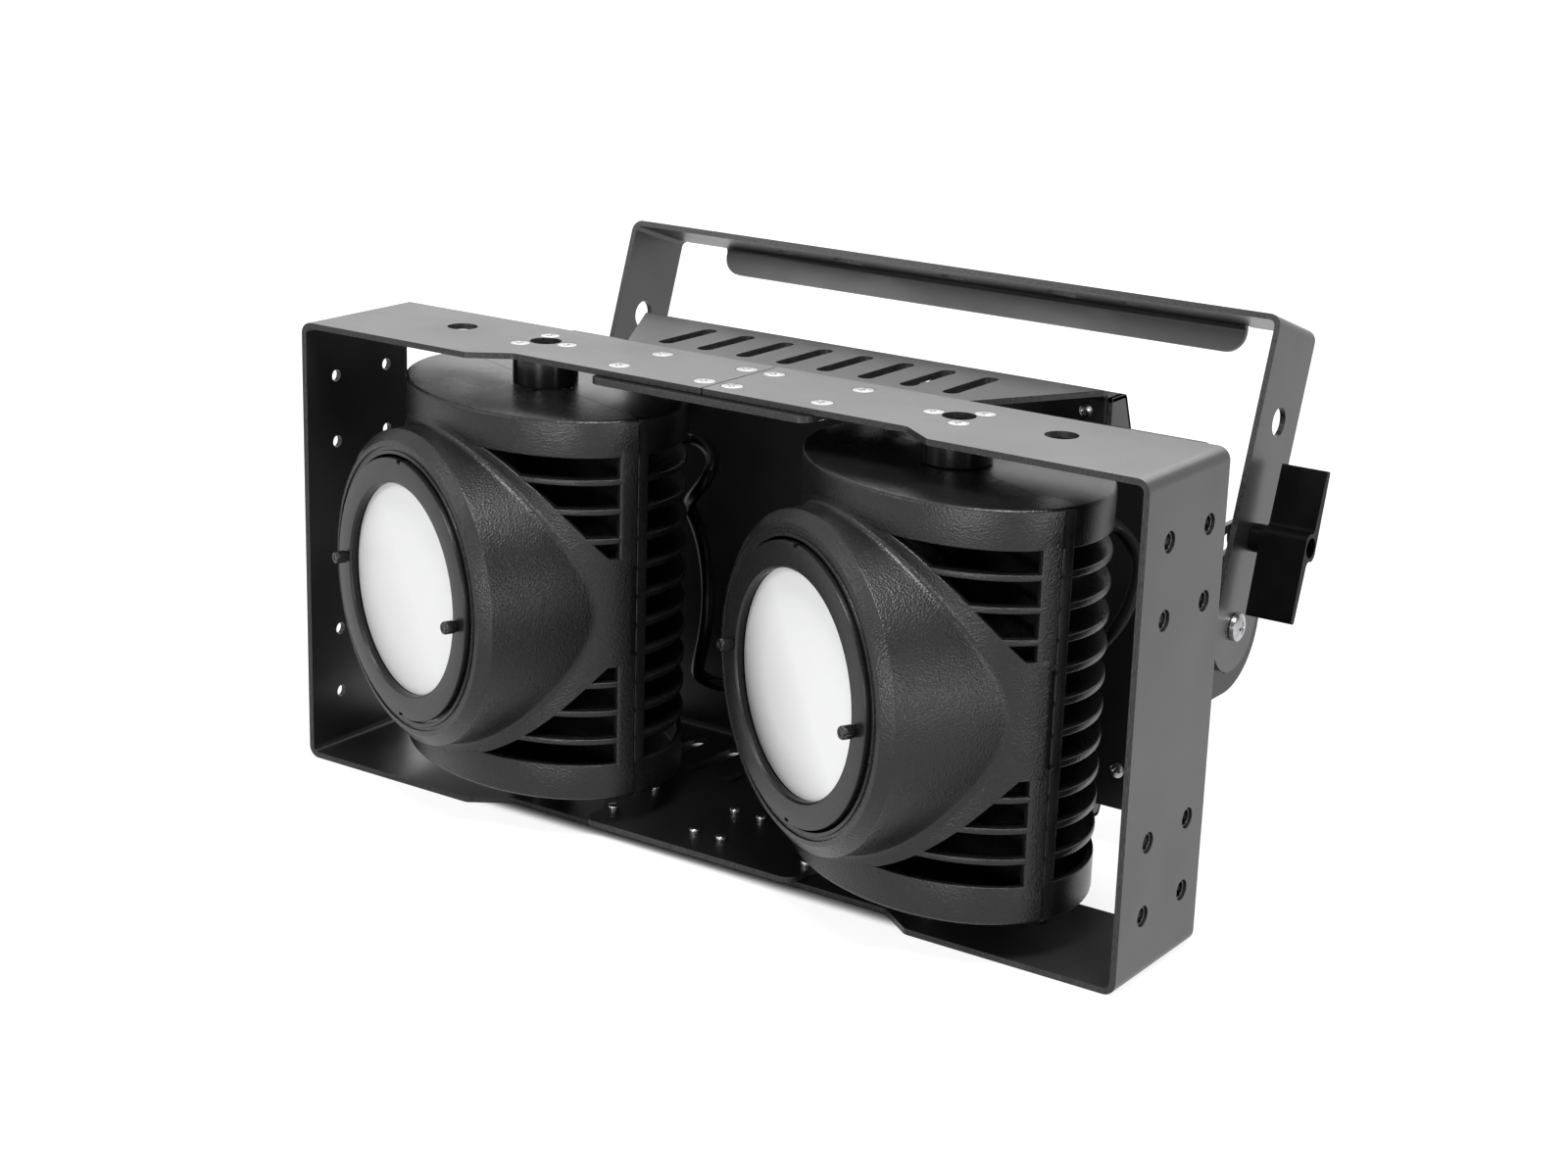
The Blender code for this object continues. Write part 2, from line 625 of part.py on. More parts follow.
def rear_chassis():
    """Flat cross-shaped pattern with its slots and holes, folded at six lines."""
    roof_bend = ROOF_TOP - CHASSIS_BEND
    length = bend_length(CHASSIS_BEND, CHASSIS_SHEET)
    roof_flat = CHASSIS_REAR - CHASSIS_BEND
    ear_bend = EAR_OUTER_X - CHASSIS_BEND
    ear_flat = CHASSIS_FRONT + CHASSIS_BEND

    def roof(y):
        return roof_bend + length + roof_flat - y

    def ear(y):
        return ear_bend + length + y - ear_flat

    roof_half_width = TONGUE_HALF_WIDTH + FLARE_SLOPE * (roof_flat - FLARE_START)
    slot_first = clamp_angle(LEAN_BACKWARD + SLOT_OVERRUN)
    slot_last = clamp_angle(-LEAN_FORWARD - SLOT_OVERRUN)
    lobe_first = slot_first - asin((ARC_SLOT_RADIUS + EAR_WALL) / CLAMP_RADIUS)
    pivot = (ear(PIVOT_Y), PIVOT_Z)
    ear_low = PIVOT_Z - EAR_RADIUS
    ear_high = PIVOT_Z + LOBE_RADIUS
    lobe = arc(pivot, LOBE_RADIUS, lobe_first, pi / 2, ARC_STEPS)
    end = arc(pivot, EAR_RADIUS, -pi / 2, lobe_first, ARC_STEPS)

    side = [(TONGUE_HALF_WIDTH, -roof(TONGUE_FRONT), TONGUE_CORNER),
            (TONGUE_HALF_WIDTH, -roof(FLARE_START), TONGUE_CORNER),
            (roof_half_width, -roof(roof_flat), 0),
            (roof_half_width, -WING_HALF_HEIGHT, 0),
            (EAR_OUTER_X, -WING_HALF_HEIGHT, WING_CORNER),
            (EAR_OUTER_X, ear_low - NOTCH, 0),
            (ear_bend, ear_low - NOTCH, 0),
            (ear_bend, ear_low, 0)]
    side += [(x, y, 0) for x, y in end + lobe]
    side += [(ear_bend, ear_high, 0),
             (ear_bend, ear_high + NOTCH, 0),
             (EAR_OUTER_X, ear_high + NOTCH, 0),
             (EAR_OUTER_X, WING_HALF_HEIGHT, WING_CORNER),
             (roof_half_width, WING_HALF_HEIGHT, 0),
             (roof_half_width, roof(roof_flat), 0),
             (TONGUE_HALF_WIDTH, roof(FLARE_START), TONGUE_CORNER),
             (TONGUE_HALF_WIDTH, roof(TONGUE_FRONT), TONGUE_CORNER)]
    outline = rounded(side + [(-x, y, radius) for x, y, radius in reversed(side)])

    holes = []
    for sign in (-1, 1):
        for index in range(SLOT_COUNT):
            x = (index - (SLOT_COUNT - 1) / 2) * SLOT_PITCH
            holes.append(slot_outline(x, sign * roof(SLOT_FRONT), sign * roof(SLOT_REAR)))
        for x in SPLICE_X:
            for y in SPLICE_Y:
                for mirror in (-1, 1):
                    holes.append(circle((mirror * x, sign * roof(y)), SPLICE_SHANK_RADIUS + GAP, SCREW_STEPS))
        for x in COVER_SCREW_COLUMNS:
            spot = (x, sign * (COVER_HALF_HEIGHT - COVER_SCREW_INSET))
            holes.append(circle(spot, COVER_SCREW_SHANK_RADIUS + GAP, SCREW_STEPS))
        for mirror in (-1, 1):
            spot = (mirror * PANEL_SCREW_X, sign * PANEL_SCREW_Z)
            holes.append(circle(spot, PANEL_SCREW_SHANK_RADIUS + GAP, SCREW_STEPS))
    for spot in (LEFT_GROMMET, RIGHT_GROMMET):
        holes.append(circle(spot, GROMMET_NECK_RADIUS + GAP))
    holes.append(circle((EYE_X, EYE_Z), EYE_STUD_RADIUS + GAP))

    ends = [(pivot[0] + CLAMP_RADIUS * cos(turn), pivot[1] + CLAMP_RADIUS * sin(turn))
            for turn in (slot_first, slot_last)]
    arc_slot = (arc(pivot, CLAMP_RADIUS + ARC_SLOT_RADIUS, slot_first, slot_last, ARC_STEPS)
                + arc(ends[1], ARC_SLOT_RADIUS, slot_last, slot_last + pi, CORNER_STEPS + 1)[1:-1]
                + arc(pivot, CLAMP_RADIUS - ARC_SLOT_RADIUS, slot_last, slot_first, ARC_STEPS)
                + arc(ends[0], ARC_SLOT_RADIUS, slot_first + pi, slot_first + 2 * pi, CORNER_STEPS + 1)[1:-1])
    for loop in (arc_slot, circle(pivot, PIVOT_HOLE_RADIUS),
                 circle((pivot[0], pivot[1] - CABLE_TIE_HOLE_DROP), CABLE_TIE_HOLE_RADIUS)):
        holes += [loop, mirrored(loop)]

    bm = plate_bm(outline, -CHASSIS_SHEET / 2, CHASSIS_SHEET / 2, holes)
    for direction in ((0, 1), (0, -1)):
        fold(bm, direction, roof_bend, CHASSIS_BEND, CHASSIS_SHEET, upward=True)
    for direction in ((1, 0), (-1, 0)):
        fold(bm, direction, ear_bend, CHASSIS_BEND, CHASSIS_SHEET, upward=False,
             low=ear_low - NOTCH / 2, high=ear_high + NOTCH / 2)
    middle = CHASSIS_REAR - CHASSIS_SHEET / 2
    return mesh_from(bm, Matrix(((1, 0, 0, 0), (0, 0, -1, middle), (0, 1, 0, 0), (0, 0, 0, 1))))


def pan_screw(head_radius, head_height, shank, length):
    """Pan-head screw: head above height 0, shank below it."""
    return turned([(0, head_height), (head_radius * 0.6, head_height), (head_radius, head_height * 0.4),
                   (head_radius, 0), (shank, 0), (shank, -length), (0, -length)], SCREW_STEPS)


def safety_eye():
    """Welded ring on a base and a stud, along +Z with the base's underside at 0."""
    base = turned([(0, -CHASSIS_SHEET - EYE_NUT_THICKNESS - 2 * GAP),
                   (EYE_STUD_RADIUS, -CHASSIS_SHEET - EYE_NUT_THICKNESS - 2 * GAP),
                   (EYE_STUD_RADIUS, 0), (EYE_BASE_RADIUS, 0),
                   (EYE_BASE_RADIUS, EYE_BASE_THICKNESS), (0, EYE_BASE_THICKNESS)], HOLE_STEPS)
    section = circle((EYE_RING_RADIUS, 0), EYE_WIRE_RADIUS, SCREW_STEPS)
    height = EYE_BASE_THICKNESS + EYE_RING_RADIUS + EYE_WIRE_RADIUS / 2
    ring = turned(section, BORE_STEPS, closed=True, matrix=at(0, 0, height) @ FACE_RIGHT)
    return carve(base, ("UNION", ring))


def hex_nut(radius, thickness, bore):
    """Hexagonal nut from height 0 upwards."""
    return plate(circle((0, 0), radius, 6), 0, thickness, [circle((0, 0), bore)])


def build_chassis(datum):
    """The rear chassis with its safety eye and the two grommets in its back plate."""
    place("rear_chassis", rear_chassis(), POWDER_COAT, datum)
    place("safety_eye", safety_eye(), ZINC, datum, at(EYE_X, BEHIND_PLATE, EYE_Z) @ FACE_REAR)
    nut = hex_nut(EYE_NUT_RADIUS, EYE_NUT_THICKNESS, EYE_STUD_RADIUS + GAP)
    place("safety_eye_nut", nut, ZINC, datum, at(EYE_X, CHASSIS_FRONT - GAP, EYE_Z) @ FACE_FRONT)

    front = GAP + GROMMET_RIM
    rear = -CHASSIS_SHEET - GAP - GROMMET_RIM
    grommet = turned([(0, front), (GROMMET_RIM_RADIUS - GROMMET_RIM / 2, front), (GROMMET_RIM_RADIUS, GAP),
                      (GROMMET_NECK_RADIUS, GAP), (GROMMET_NECK_RADIUS, rear + GROMMET_RIM),
                      (GROMMET_RIM_RADIUS, rear + GROMMET_RIM), (GROMMET_RIM_RADIUS, rear), (0, rear)],
                     HOLE_STEPS)
    for name, (x, z) in (("left_lead_grommet", LEFT_GROMMET), ("right_lead_grommet", RIGHT_GROMMET)):
        place(name, grommet, RUBBER, datum, at(x, CHASSIS_FRONT, z) @ FACE_FRONT)


# Electronics

def cover_profile(inset, front):
    """Side view of the electronics cover as (depth, height) points, drawn in by a wall."""
    slope = inset * (COVER_REAR - COVER_SHOULDER) / (COVER_HALF_HEIGHT - COVER_FLAT_HALF_HEIGHT)
    upper = [(front, COVER_HALF_HEIGHT - inset), (COVER_SHOULDER - inset + slope, COVER_HALF_HEIGHT - inset),
             (COVER_REAR - inset, COVER_FLAT_HALF_HEIGHT - slope)]
    return upper + [(y, -z) for y, z in reversed(upper)]


def connector_heights():
    """Heights of the four panel connectors, from the top down."""
    return [(1.5 - index) * CONNECTOR_PITCH for index in range(4)]


def button_places():
    """Places of the push buttons along the cover's rear face."""
    return [BUTTON_X + (index - (BUTTON_COUNT - 1) / 2) * BUTTON_PITCH for index in range(BUTTON_COUNT)]


def electronics_cover():
    """Folded cover with an inner flange round its mouth and openings for what it carries."""
    along_x = Matrix(((0, 0, 1, 0), (1, 0, 0, 0), (0, 1, 0, 0), (0, 0, 0, 1)))
    body = plate(cover_profile(0, BEHIND_PLATE), COVER_LEFT, COVER_RIGHT, matrix=along_x)
    hollow = plate(cover_profile(COVER_WALL, COVER_MOUTH), COVER_LEFT + COVER_WALL, COVER_RIGHT - COVER_WALL,
                   matrix=along_x)
    inset = COVER_WALL + COVER_RETURN
    middle = (COVER_LEFT + COVER_RIGHT) / 2
    mouth = plate(rectangle((middle, 0), COVER_RIGHT - COVER_LEFT - 2 * inset, 2 * (COVER_HALF_HEIGHT - inset)),
                  -COVER_WALL, 2 * COVER_WALL, matrix=at(0, BEHIND_PLATE + COVER_WALL, 0) @ FACE_FRONT)
    tools = []
    for z in connector_heights():
        tools.append(rod(CONNECTOR_BARREL_RADIUS + GAP, -COVER_WALL, COVER_WALL, BORE_STEPS,
                         at(COVER_LEFT, CONNECTOR_Y, z) @ FACE_LEFT))
    to_rear = at(0, COVER_REAR, 0) @ FACE_FRONT
    low, high = -COVER_WALL, 2 * COVER_WALL
    tools.append(plate(rectangle((WINDOW_X, WINDOW_Z), WINDOW_WIDTH, WINDOW_HEIGHT, WINDOW_CORNER),
                       low, high, matrix=to_rear))
    tools.append(plate(circle((FUSE_X, FUSE_Z), FUSE_BODY_RADIUS + GAP), low, high, matrix=to_rear))
    for x in button_places():
        tools.append(plate(circle((x, BUTTON_Z), BUTTON_RADIUS + GAP), low, high, matrix=to_rear))
    for x in COVER_SCREW_COLUMNS:
        for sign in (-1, 1):
            spot = (x, sign * (COVER_HALF_HEIGHT - COVER_SCREW_INSET))
            tools.append(plate(circle(spot, COVER_SCREW_SHANK_RADIUS + GAP, SCREW_STEPS), low, low + 2 * COVER_WALL,
                               matrix=at(0, BEHIND_PLATE, 0) @ FACE_FRONT))
    return carve(body, ("DIFFERENCE", hollow), ("DIFFERENCE", mouth), ("DIFFERENCE", joined(*tools)))


def connector():
    """Panel connector along +Z: flange on the wall at height 0, barrel in and out, socket bore."""
    flange = plate(rectangle((0, 0), CONNECTOR_HEIGHT, CONNECTOR_WIDTH, CONNECTOR_CORNER),
                   GAP, GAP + CONNECTOR_FLANGE)
    barrel = rod(CONNECTOR_BARREL_RADIUS, -CONNECTOR_INSIDE, CONNECTOR_PROUD, BORE_STEPS)
    bore = rod(CONNECTOR_BORE_RADIUS, CONNECTOR_PROUD - CONNECTOR_BORE_DEPTH, CONNECTOR_PROUD + CONNECTOR_FLANGE,
               BORE_STEPS)
    return carve(flange, ("UNION", barrel), ("DIFFERENCE", bore))


def circuit_board(width, height, standoff, blocks):
    """Board on four standoffs that stand at height 0, with blocks (x, y, width, height, top) on it."""
    board = plate(rectangle((0, 0), width, height), standoff, standoff + BOARD_THICKNESS)
    posts = [rod(STANDOFF_RADIUS, 0, standoff + BOARD_THICKNESS / 2, SCREW_STEPS,
                 at(x * (width / 2 - STANDOFF_INSET), y * (height / 2 - STANDOFF_INSET), 0))
             for x in (-1, 1) for y in (-1, 1)]
    parts = [plate(rectangle((x, y), w, h), standoff + BOARD_THICKNESS / 2, top) for x, y, w, h, top in blocks]
    return carve(board, ("UNION", joined(*posts, *parts)))


def push_button():
    """Round button along +Z with the cover's outer face at height 0 and a collar behind the wall."""
    collar = -COVER_WALL - GAP
    return turned([(0, BUTTON_PROUD), (BUTTON_RADIUS, BUTTON_PROUD), (BUTTON_RADIUS, collar),
                   (BUTTON_COLLAR_RADIUS, collar), (BUTTON_COLLAR_RADIUS, collar - BUTTON_COLLAR),
                   (0, collar - BUTTON_COLLAR)], HOLE_STEPS, matrix=FACE_REAR)


def build_electronics(datum):
    """The cover, its window, buttons, connectors and fuse, and what it holds."""
    place("electronics_cover", electronics_cover(), POWDER_COAT, datum)

    supply = plate(rectangle((SUPPLY_LEFT + SUPPLY_WIDTH / 2, 0), SUPPLY_WIDTH, SUPPLY_HEIGHT), -SUPPLY_DEPTH, 0,
                   matrix=at(0, BEHIND_PLATE, 0) @ FACE_FRONT)
    place("power_supply", supply, ALUMINIUM, datum)

    block = DRIVER_WIDTH * 0.6
    top = DRIVER_STANDOFF + 4 * DRIVER_STANDOFF / 2
    driver = circuit_board(DRIVER_WIDTH, DRIVER_HEIGHT, DRIVER_STANDOFF,
                           [(0, DRIVER_HEIGHT * 0.3, block, block, top), (0, -DRIVER_HEIGHT * 0.3, block, block / 2, top)])
    place("driver_board", driver, BOARD_GREEN, datum,
          at(DRIVER_LEFT + DRIVER_WIDTH / 2, BEHIND_PLATE, 0) @ FACE_REAR)

    screen = (WINDOW_X - CONTROL_X, WINDOW_Z - CONTROL_Z, WINDOW_WIDTH - 2 * COVER_WALL,
              WINDOW_HEIGHT - 2 * COVER_WALL, 0)
    control = circuit_board(CONTROL_WIDTH, CONTROL_HEIGHT, CONTROL_STANDOFF, [])
    display = plate(rectangle(screen[:2], screen[2], screen[3]), 0, CONTROL_STANDOFF + BOARD_THICKNESS / 2)
    control = carve(control, ("UNION", display))
    inner_face = COVER_REAR - COVER_WALL - GAP
    place("control_board", control, BOARD_GREEN, datum, at(CONTROL_X, inner_face, CONTROL_Z) @ FACE_FRONT)

    window = plate(rectangle((WINDOW_X, WINDOW_Z), WINDOW_WIDTH - 2 * GAP, WINDOW_HEIGHT - 2 * GAP, WINDOW_CORNER),
                   0, COVER_WALL, matrix=at(0, COVER_REAR, 0) @ FACE_FRONT)
    place("display_window", window, DARK_GLASS, datum)

    button = push_button()
    for name, x in zip(("menu_button", "down_button", "up_button", "enter_button"), button_places()):
        place(name, button, BLACK_PLASTIC, datum, at(x, COVER_REAR, BUTTON_Z))

    names = ("power_inlet", "power_outlet", "data_inlet", "data_outlet")
    looks = (BLUE_PLASTIC, GREY_PLASTIC, BLACK_PLASTIC, BLACK_PLASTIC)
    for name, look, z in zip(names, looks, connector_heights()):
        place(name, connector(), look, datum, at(COVER_LEFT, CONNECTOR_Y, z) @ FACE_LEFT)

    fuse = turned([(0, FUSE_CAP_HEIGHT), (FUSE_CAP_RADIUS * 0.8, FUSE_CAP_HEIGHT), (FUSE_CAP_RADIUS, GAP),
                   (FUSE_BODY_RADIUS, GAP), (FUSE_BODY_RADIUS, -FUSE_BODY_LENGTH), (0, -FUSE_BODY_LENGTH)],
                  HOLE_STEPS, matrix=at(FUSE_X, COVER_REAR, FUSE_Z) @ FACE_REAR)
    place("fuse_holder", fuse, BLACK_PLASTIC, datum)


# Yoke

def yoke_sheet():
    """Crossbar with two arms and a stiffening lip, in the yoke's own frame about its pivot."""
    arm_bend = ARM_OUTER_X - YOKE_BEND
    length = bend_length(YOKE_BEND, YOKE_SHEET)
    lip_bend = YOKE_HALF_WIDTH - YOKE_BEND

    def arm(reach):
        return arm_bend + length + YOKE_REACH - YOKE_BEND - reach

    lip_edge = lip_bend + length + LIP_DEPTH - YOKE_BEND
    end = arc((arm(0), 0), YOKE_HALF_WIDTH, -pi / 2, pi / 2, ARC_STEPS)
    side = [(0, -YOKE_HALF_WIDTH, 0)] + [(x, y, 0) for x, y in end]
    side += [(LIP_HALF_LENGTH + NOTCH, YOKE_HALF_WIDTH, 0), (LIP_HALF_LENGTH + NOTCH, lip_bend, 0),
             (LIP_HALF_LENGTH, lip_bend, 0), (LIP_HALF_LENGTH, lip_edge, LIP_CORNER)]
    outline = rounded(side + [(-x, y, radius) for x, y, radius in reversed(side[1:])])
    holes = []
    for x, radius in CROSSBAR_HOLES:
        holes += [circle((sign * x, 0), radius, BORE_STEPS) for sign in ((1,) if x == 0 else (-1, 1))]
    for reach, radius in ((0, PIVOT_HOLE_RADIUS), (CLAMP_RADIUS, CLAMP_HOLE_RADIUS), (ARM_HOLE_REACH, ARM_HOLE_RADIUS)):
        loop = circle((arm(reach), 0), radius, BORE_STEPS)
        holes += [loop, mirrored(loop)]
    bm = plate_bm(outline, -YOKE_SHEET / 2, YOKE_SHEET / 2, holes)
    fold(bm, (0, 1), lip_bend, YOKE_BEND, YOKE_SHEET, upward=False,
         low=-LIP_HALF_LENGTH - NOTCH / 2, high=LIP_HALF_LENGTH + NOTCH / 2)
    for direction in ((1, 0), (-1, 0)):
        fold(bm, direction, arm_bend, YOKE_BEND, YOKE_SHEET, upward=False)
    return mesh_from(bm, at(0, 0, YOKE_REACH - YOKE_SHEET / 2))


def wing_knob():
    """Knob along +Z from the arm's face: round hub, S-shaped double wing and a bore right through."""
    half, thin = KNOB_HUB_RADIUS, KNOB_HUB_RADIUS - KNOB_WING_THICKNESS
    tip = KNOB_WING_THICKNESS / 6
    wing = [(KNOB_WING_LENGTH, half, tip), (KNOB_WING_LENGTH, thin, tip), (half, thin, KNOB_FILLET),
            (half, -half, KNOB_FILLET)]
    outline = rounded(wing + [(-x, -y, radius) for x, y, radius in wing])
    top = KNOB_HUB_LENGTH + KNOB_WING_WIDTH
    body = plate(outline, KNOB_HUB_LENGTH, top)
    hub = rod(KNOB_HUB_RADIUS, 0, KNOB_HUB_LENGTH + KNOB_WING_THICKNESS, BORE_STEPS)
    bore = rod(CLAMP_SHANK_RADIUS + CLAMP_BORE_CLEARANCE, -KNOB_HUB_LENGTH, top + KNOB_HUB_LENGTH)
    return carve(body, ("UNION", hub), ("DIFFERENCE", bore))


def build_yoke(datum):
    """The yoke about its pivot, its screws and nuts, and the clamps with their wing knobs."""
    pivot = empty("yoke_axis", (0, PIVOT_Y, PIVOT_Z), (-radians(YOKE_LEAN), 0, 0), datum)
    place("yoke", yoke_sheet(), POWDER_COAT, pivot)

    ear_inner = EAR_OUTER_X - CHASSIS_SHEET - GAP
    head_seat = ARM_OUTER_X + GAP
    tail = head_seat - ear_inner + PIVOT_NUT_THICKNESS + PIVOT_TAIL
    screw = pan_screw(PIVOT_HEAD_RADIUS, PIVOT_HEAD_HEIGHT, PIVOT_SHANK_RADIUS, tail)
    nut = hex_nut(PIVOT_NUT_RADIUS, PIVOT_NUT_THICKNESS, PIVOT_HOLE_RADIUS)
    knob_face = KNOB_INNER_X + KNOB_HUB_LENGTH + KNOB_WING_WIDTH
    bolt = turned([(0, ear_inner - CLAMP_HEAD_HEIGHT), (CLAMP_HEAD_RADIUS, ear_inner - CLAMP_HEAD_HEIGHT),
                   (CLAMP_HEAD_RADIUS, ear_inner), (CLAMP_SHANK_RADIUS, ear_inner),
                   (CLAMP_SHANK_RADIUS, knob_face - CLAMP_TAIL), (0, knob_face - CLAMP_TAIL)], HOLE_STEPS)
    knob = wing_knob()
    for name, side, turn in (("left", -1, FACE_LEFT), ("right", 1, FACE_RIGHT)):
        place(f"{name}_pivot_screw", screw, ZINC, datum, at(side * head_seat, PIVOT_Y, PIVOT_Z) @ turn)
        nut_x = side * (ear_inner - PIVOT_NUT_THICKNESS)
        place(f"{name}_pivot_nut", nut, ZINC, datum, at(nut_x, PIVOT_Y, PIVOT_Z) @ turn)
        place(f"{name}_clamp_bolt", bolt, BLACK_STEEL, pivot, at(0, 0, CLAMP_RADIUS) @ turn)
        place(f"{name}_wing_knob", knob, BLACK_PLASTIC, pivot, at(side * KNOB_INNER_X, 0, CLAMP_RADIUS) @ turn)


# Lamp heads

def half_oval(side_radius, fore_radius, clear, second):
    """Rear half of an oval: its straight side lies `clear` behind the middle, a point at `second`."""
    first, next_turn = asin(clear / fore_radius), asin(second / fore_radius)
    turns = [first]
    turns += [next_turn + (pi - 2 * next_turn) * step / OVAL_STEPS for step in range(OVAL_STEPS + 1)]
    turns.append(pi - first)
    return [(side_radius * cos(turn), fore_radius * sin(turn)) for turn in turns]


def to_front(points):
    """Turns an outline of the rear half to the front."""
    return [(x, -y) for x, y in points]


def fin_heights():
    """Heights of the cooling fins, evenly about the middle."""
    return [(index - (FIN_COUNT - 1) / 2) * FIN_PITCH for index in range(FIN_COUNT)]


def louvre_bands():
    """Open bands between the front shell's ribs, which line up with the upper fins."""
    ribs = [height for height in fin_heights() if WINDOW_BOTTOM < height - RIB_THICKNESS / 2
            and height + RIB_THICKNESS / 2 < WINDOW_TOP]
    lows = [WINDOW_BOTTOM] + [height + RIB_THICKNESS / 2 for height in ribs]
    highs = [height - RIB_THICKNESS / 2 for height in ribs] + [WINDOW_TOP]
    return list(zip(lows, highs))


def louvre_tools():
    """Prisms that open the louvres on both sides, above and below the middle."""
    tools = []
    edge = DRUM_SIDE_RADIUS + CAST_WALL
    for low, high in louvre_bands():
        start, end = asin(low / WINDOW_ARC_RADIUS), asin(high / WINDOW_ARC_RADIUS)
        outline = [(edge, low)] + arc((WINDOW_ARC_SHIFT, 0), WINDOW_ARC_RADIUS, start, end, 1) + [(edge, high)]
        below = [(x, -y) for x, y in outline]
        for loop in (outline, below, mirrored(outline), mirrored(below)):
            tools.append(plate(loop, POST_DEPTH, DRUM_FORE_RADIUS + CAST_WALL, matrix=FACE_FRONT))
    return joined(*tools)


def thumbscrew_spots():
    """Places of the two thumbscrews across the lens, as (side, height)."""
    turn = radians(THUMBSCREW_TURN)
    x, z = THUMBSCREW_CIRCLE * cos(turn), THUMBSCREW_CIRCLE * sin(turn)
    return [(-x, z), (x, -z)]


def front_shell():
    """Cast front half: oval drum with louvres and the round snout that carries the lens."""
    drum = plate(to_front(half_oval(DRUM_SIDE_RADIUS, DRUM_FORE_RADIUS, SEAM, POST_DEPTH / 2)),
                 -DRUM_HALF_HEIGHT, DRUM_HALF_HEIGHT)
    snout = turned([(0, SNOUT_ROOT), (SNOUT_ROOT_RADIUS, SNOUT_ROOT), (SNOUT_FRONT_RADIUS, SNOUT_SHOULDER),
                    (BEZEL_FACE_RADIUS, SNOUT_FRONT), (0, SNOUT_FRONT)], SNOUT_STEPS, matrix=FACE_FRONT)
    inner = DRUM_SIDE_RADIUS - CAST_WALL
    hollow_outline = to_front(half_oval(inner, DRUM_FORE_RADIUS - CAST_WALL, SEAM, POST_DEPTH / 2))
    hollow_outline += [(-inner, CAST_WALL), (inner, CAST_WALL)]
    lid = DRUM_HALF_HEIGHT - CAP_THICKNESS
    hollow = plate(hollow_outline, -lid, lid)
    tube_front = SNOUT_FRONT_RADIUS - SNOUT_WALL
    tube_root = SNOUT_ROOT_RADIUS - SNOUT_WALL
    tube = turned([(0, FLANGE_BACK), (tube_front, FLANGE_BACK), (tube_root, SNOUT_ROOT),
                   (tube_root, SNOUT_ROOT / 2), (0, SNOUT_ROOT / 2)], SNOUT_STEPS, matrix=FACE_FRONT)
    seat_radius = LENS_RADIUS + GAP
    seat = turned([(0, SNOUT_FRONT + CAST_WALL), (BEZEL_BORE_RADIUS, SNOUT_FRONT + CAST_WALL),
                   (BEZEL_BORE_RADIUS, RING_SEAT), (seat_radius, RING_SEAT), (seat_radius, LENS_SEAT),
                   (LENS_OPENING_RADIUS, LENS_SEAT), (LENS_OPENING_RADIUS, FLANGE_BACK - CAST_WALL),
                   (0, FLANGE_BACK - CAST_WALL)], SNOUT_STEPS, matrix=FACE_FRONT)
    shanks = [plate(circle(spot, SHANK_HOLE_RADIUS, SCREW_STEPS), FLANGE_BACK - GAP, RING_SEAT + GAP,
                    matrix=FACE_FRONT) for spot in thumbscrew_spots()]
    return carve(drum, ("UNION", snout), ("DIFFERENCE", hollow), ("DIFFERENCE", tube), ("DIFFERENCE", seat),
                 ("DIFFERENCE", joined(*shanks)), ("DIFFERENCE", louvre_tools()))


def heat_sink():
    """Cast rear half: base plate for the light engine, oval fins, hollow caps and a gland seat."""
    outline = half_oval(DRUM_SIDE_RADIUS, DRUM_FORE_RADIUS, SEAM, BASE_THICKNESS)
    base = plate([outline[0], outline[1], outline[-2], outline[-1]], -DRUM_HALF_HEIGHT, DRUM_HALF_HEIGHT)
    slabs = [plate(outline, height - FIN_THICKNESS / 2, height + FIN_THICKNESS / 2) for height in fin_heights()]
    skirt = DRUM_HALF_HEIGHT - CAP_SKIRT
    slabs.append(plate(outline, skirt, DRUM_HALF_HEIGHT))
    slabs.append(plate(outline, -DRUM_HALF_HEIGHT, -skirt))
    wall = BASE_THICKNESS + CAST_WALL
    hollow = half_oval(DRUM_SIDE_RADIUS - CAST_WALL, DRUM_FORE_RADIUS - CAST_WALL, wall, 2 * wall)
    lid = DRUM_HALF_HEIGHT - CAP_THICKNESS
    hollows = joined(plate(hollow, skirt - FIN_THICKNESS / 2, lid), plate(hollow, -lid, -skirt + FIN_THICKNESS / 2))
    seat = rod(GLAND_SEAT_RADIUS, BASE_THICKNESS / 2, GLAND_SEAT_REACH, BORE_STEPS, at(0, 0, GLAND_HEIGHT) @ FACE_REAR)
    return carve(base, ("UNION", joined(*slabs)), ("DIFFERENCE", hollows), ("UNION", seat))


def retaining_ring():
    """Flat ring over the lens with a notch at the top and bottom of its rim."""
    half = asin(NOTCH_WIDTH / 2 / RING_OUTER_RADIUS)
    inner = RING_OUTER_RADIUS - NOTCH_DEPTH
    quarter = SNOUT_STEPS // 2
    right = arc((0, 0), RING_OUTER_RADIUS, -pi / 2 + half, pi / 2 - half, quarter)
    left = [(-x, -y) for x, y in right]
    notch = [(NOTCH_WIDTH / 2, inner), (-NOTCH_WIDTH / 2, inner)]
    outline = right + notch + left + [(-x, -y) for x, y in notch]
    holes = [circle((0, 0), RING_INNER_RADIUS, SNOUT_STEPS)]
    holes += [circle(spot, SHANK_HOLE_RADIUS, SCREW_STEPS) for spot in thumbscrew_spots()]
    return plate(outline, RING_BACK, RING_FRONT, holes, matrix=FACE_FRONT)


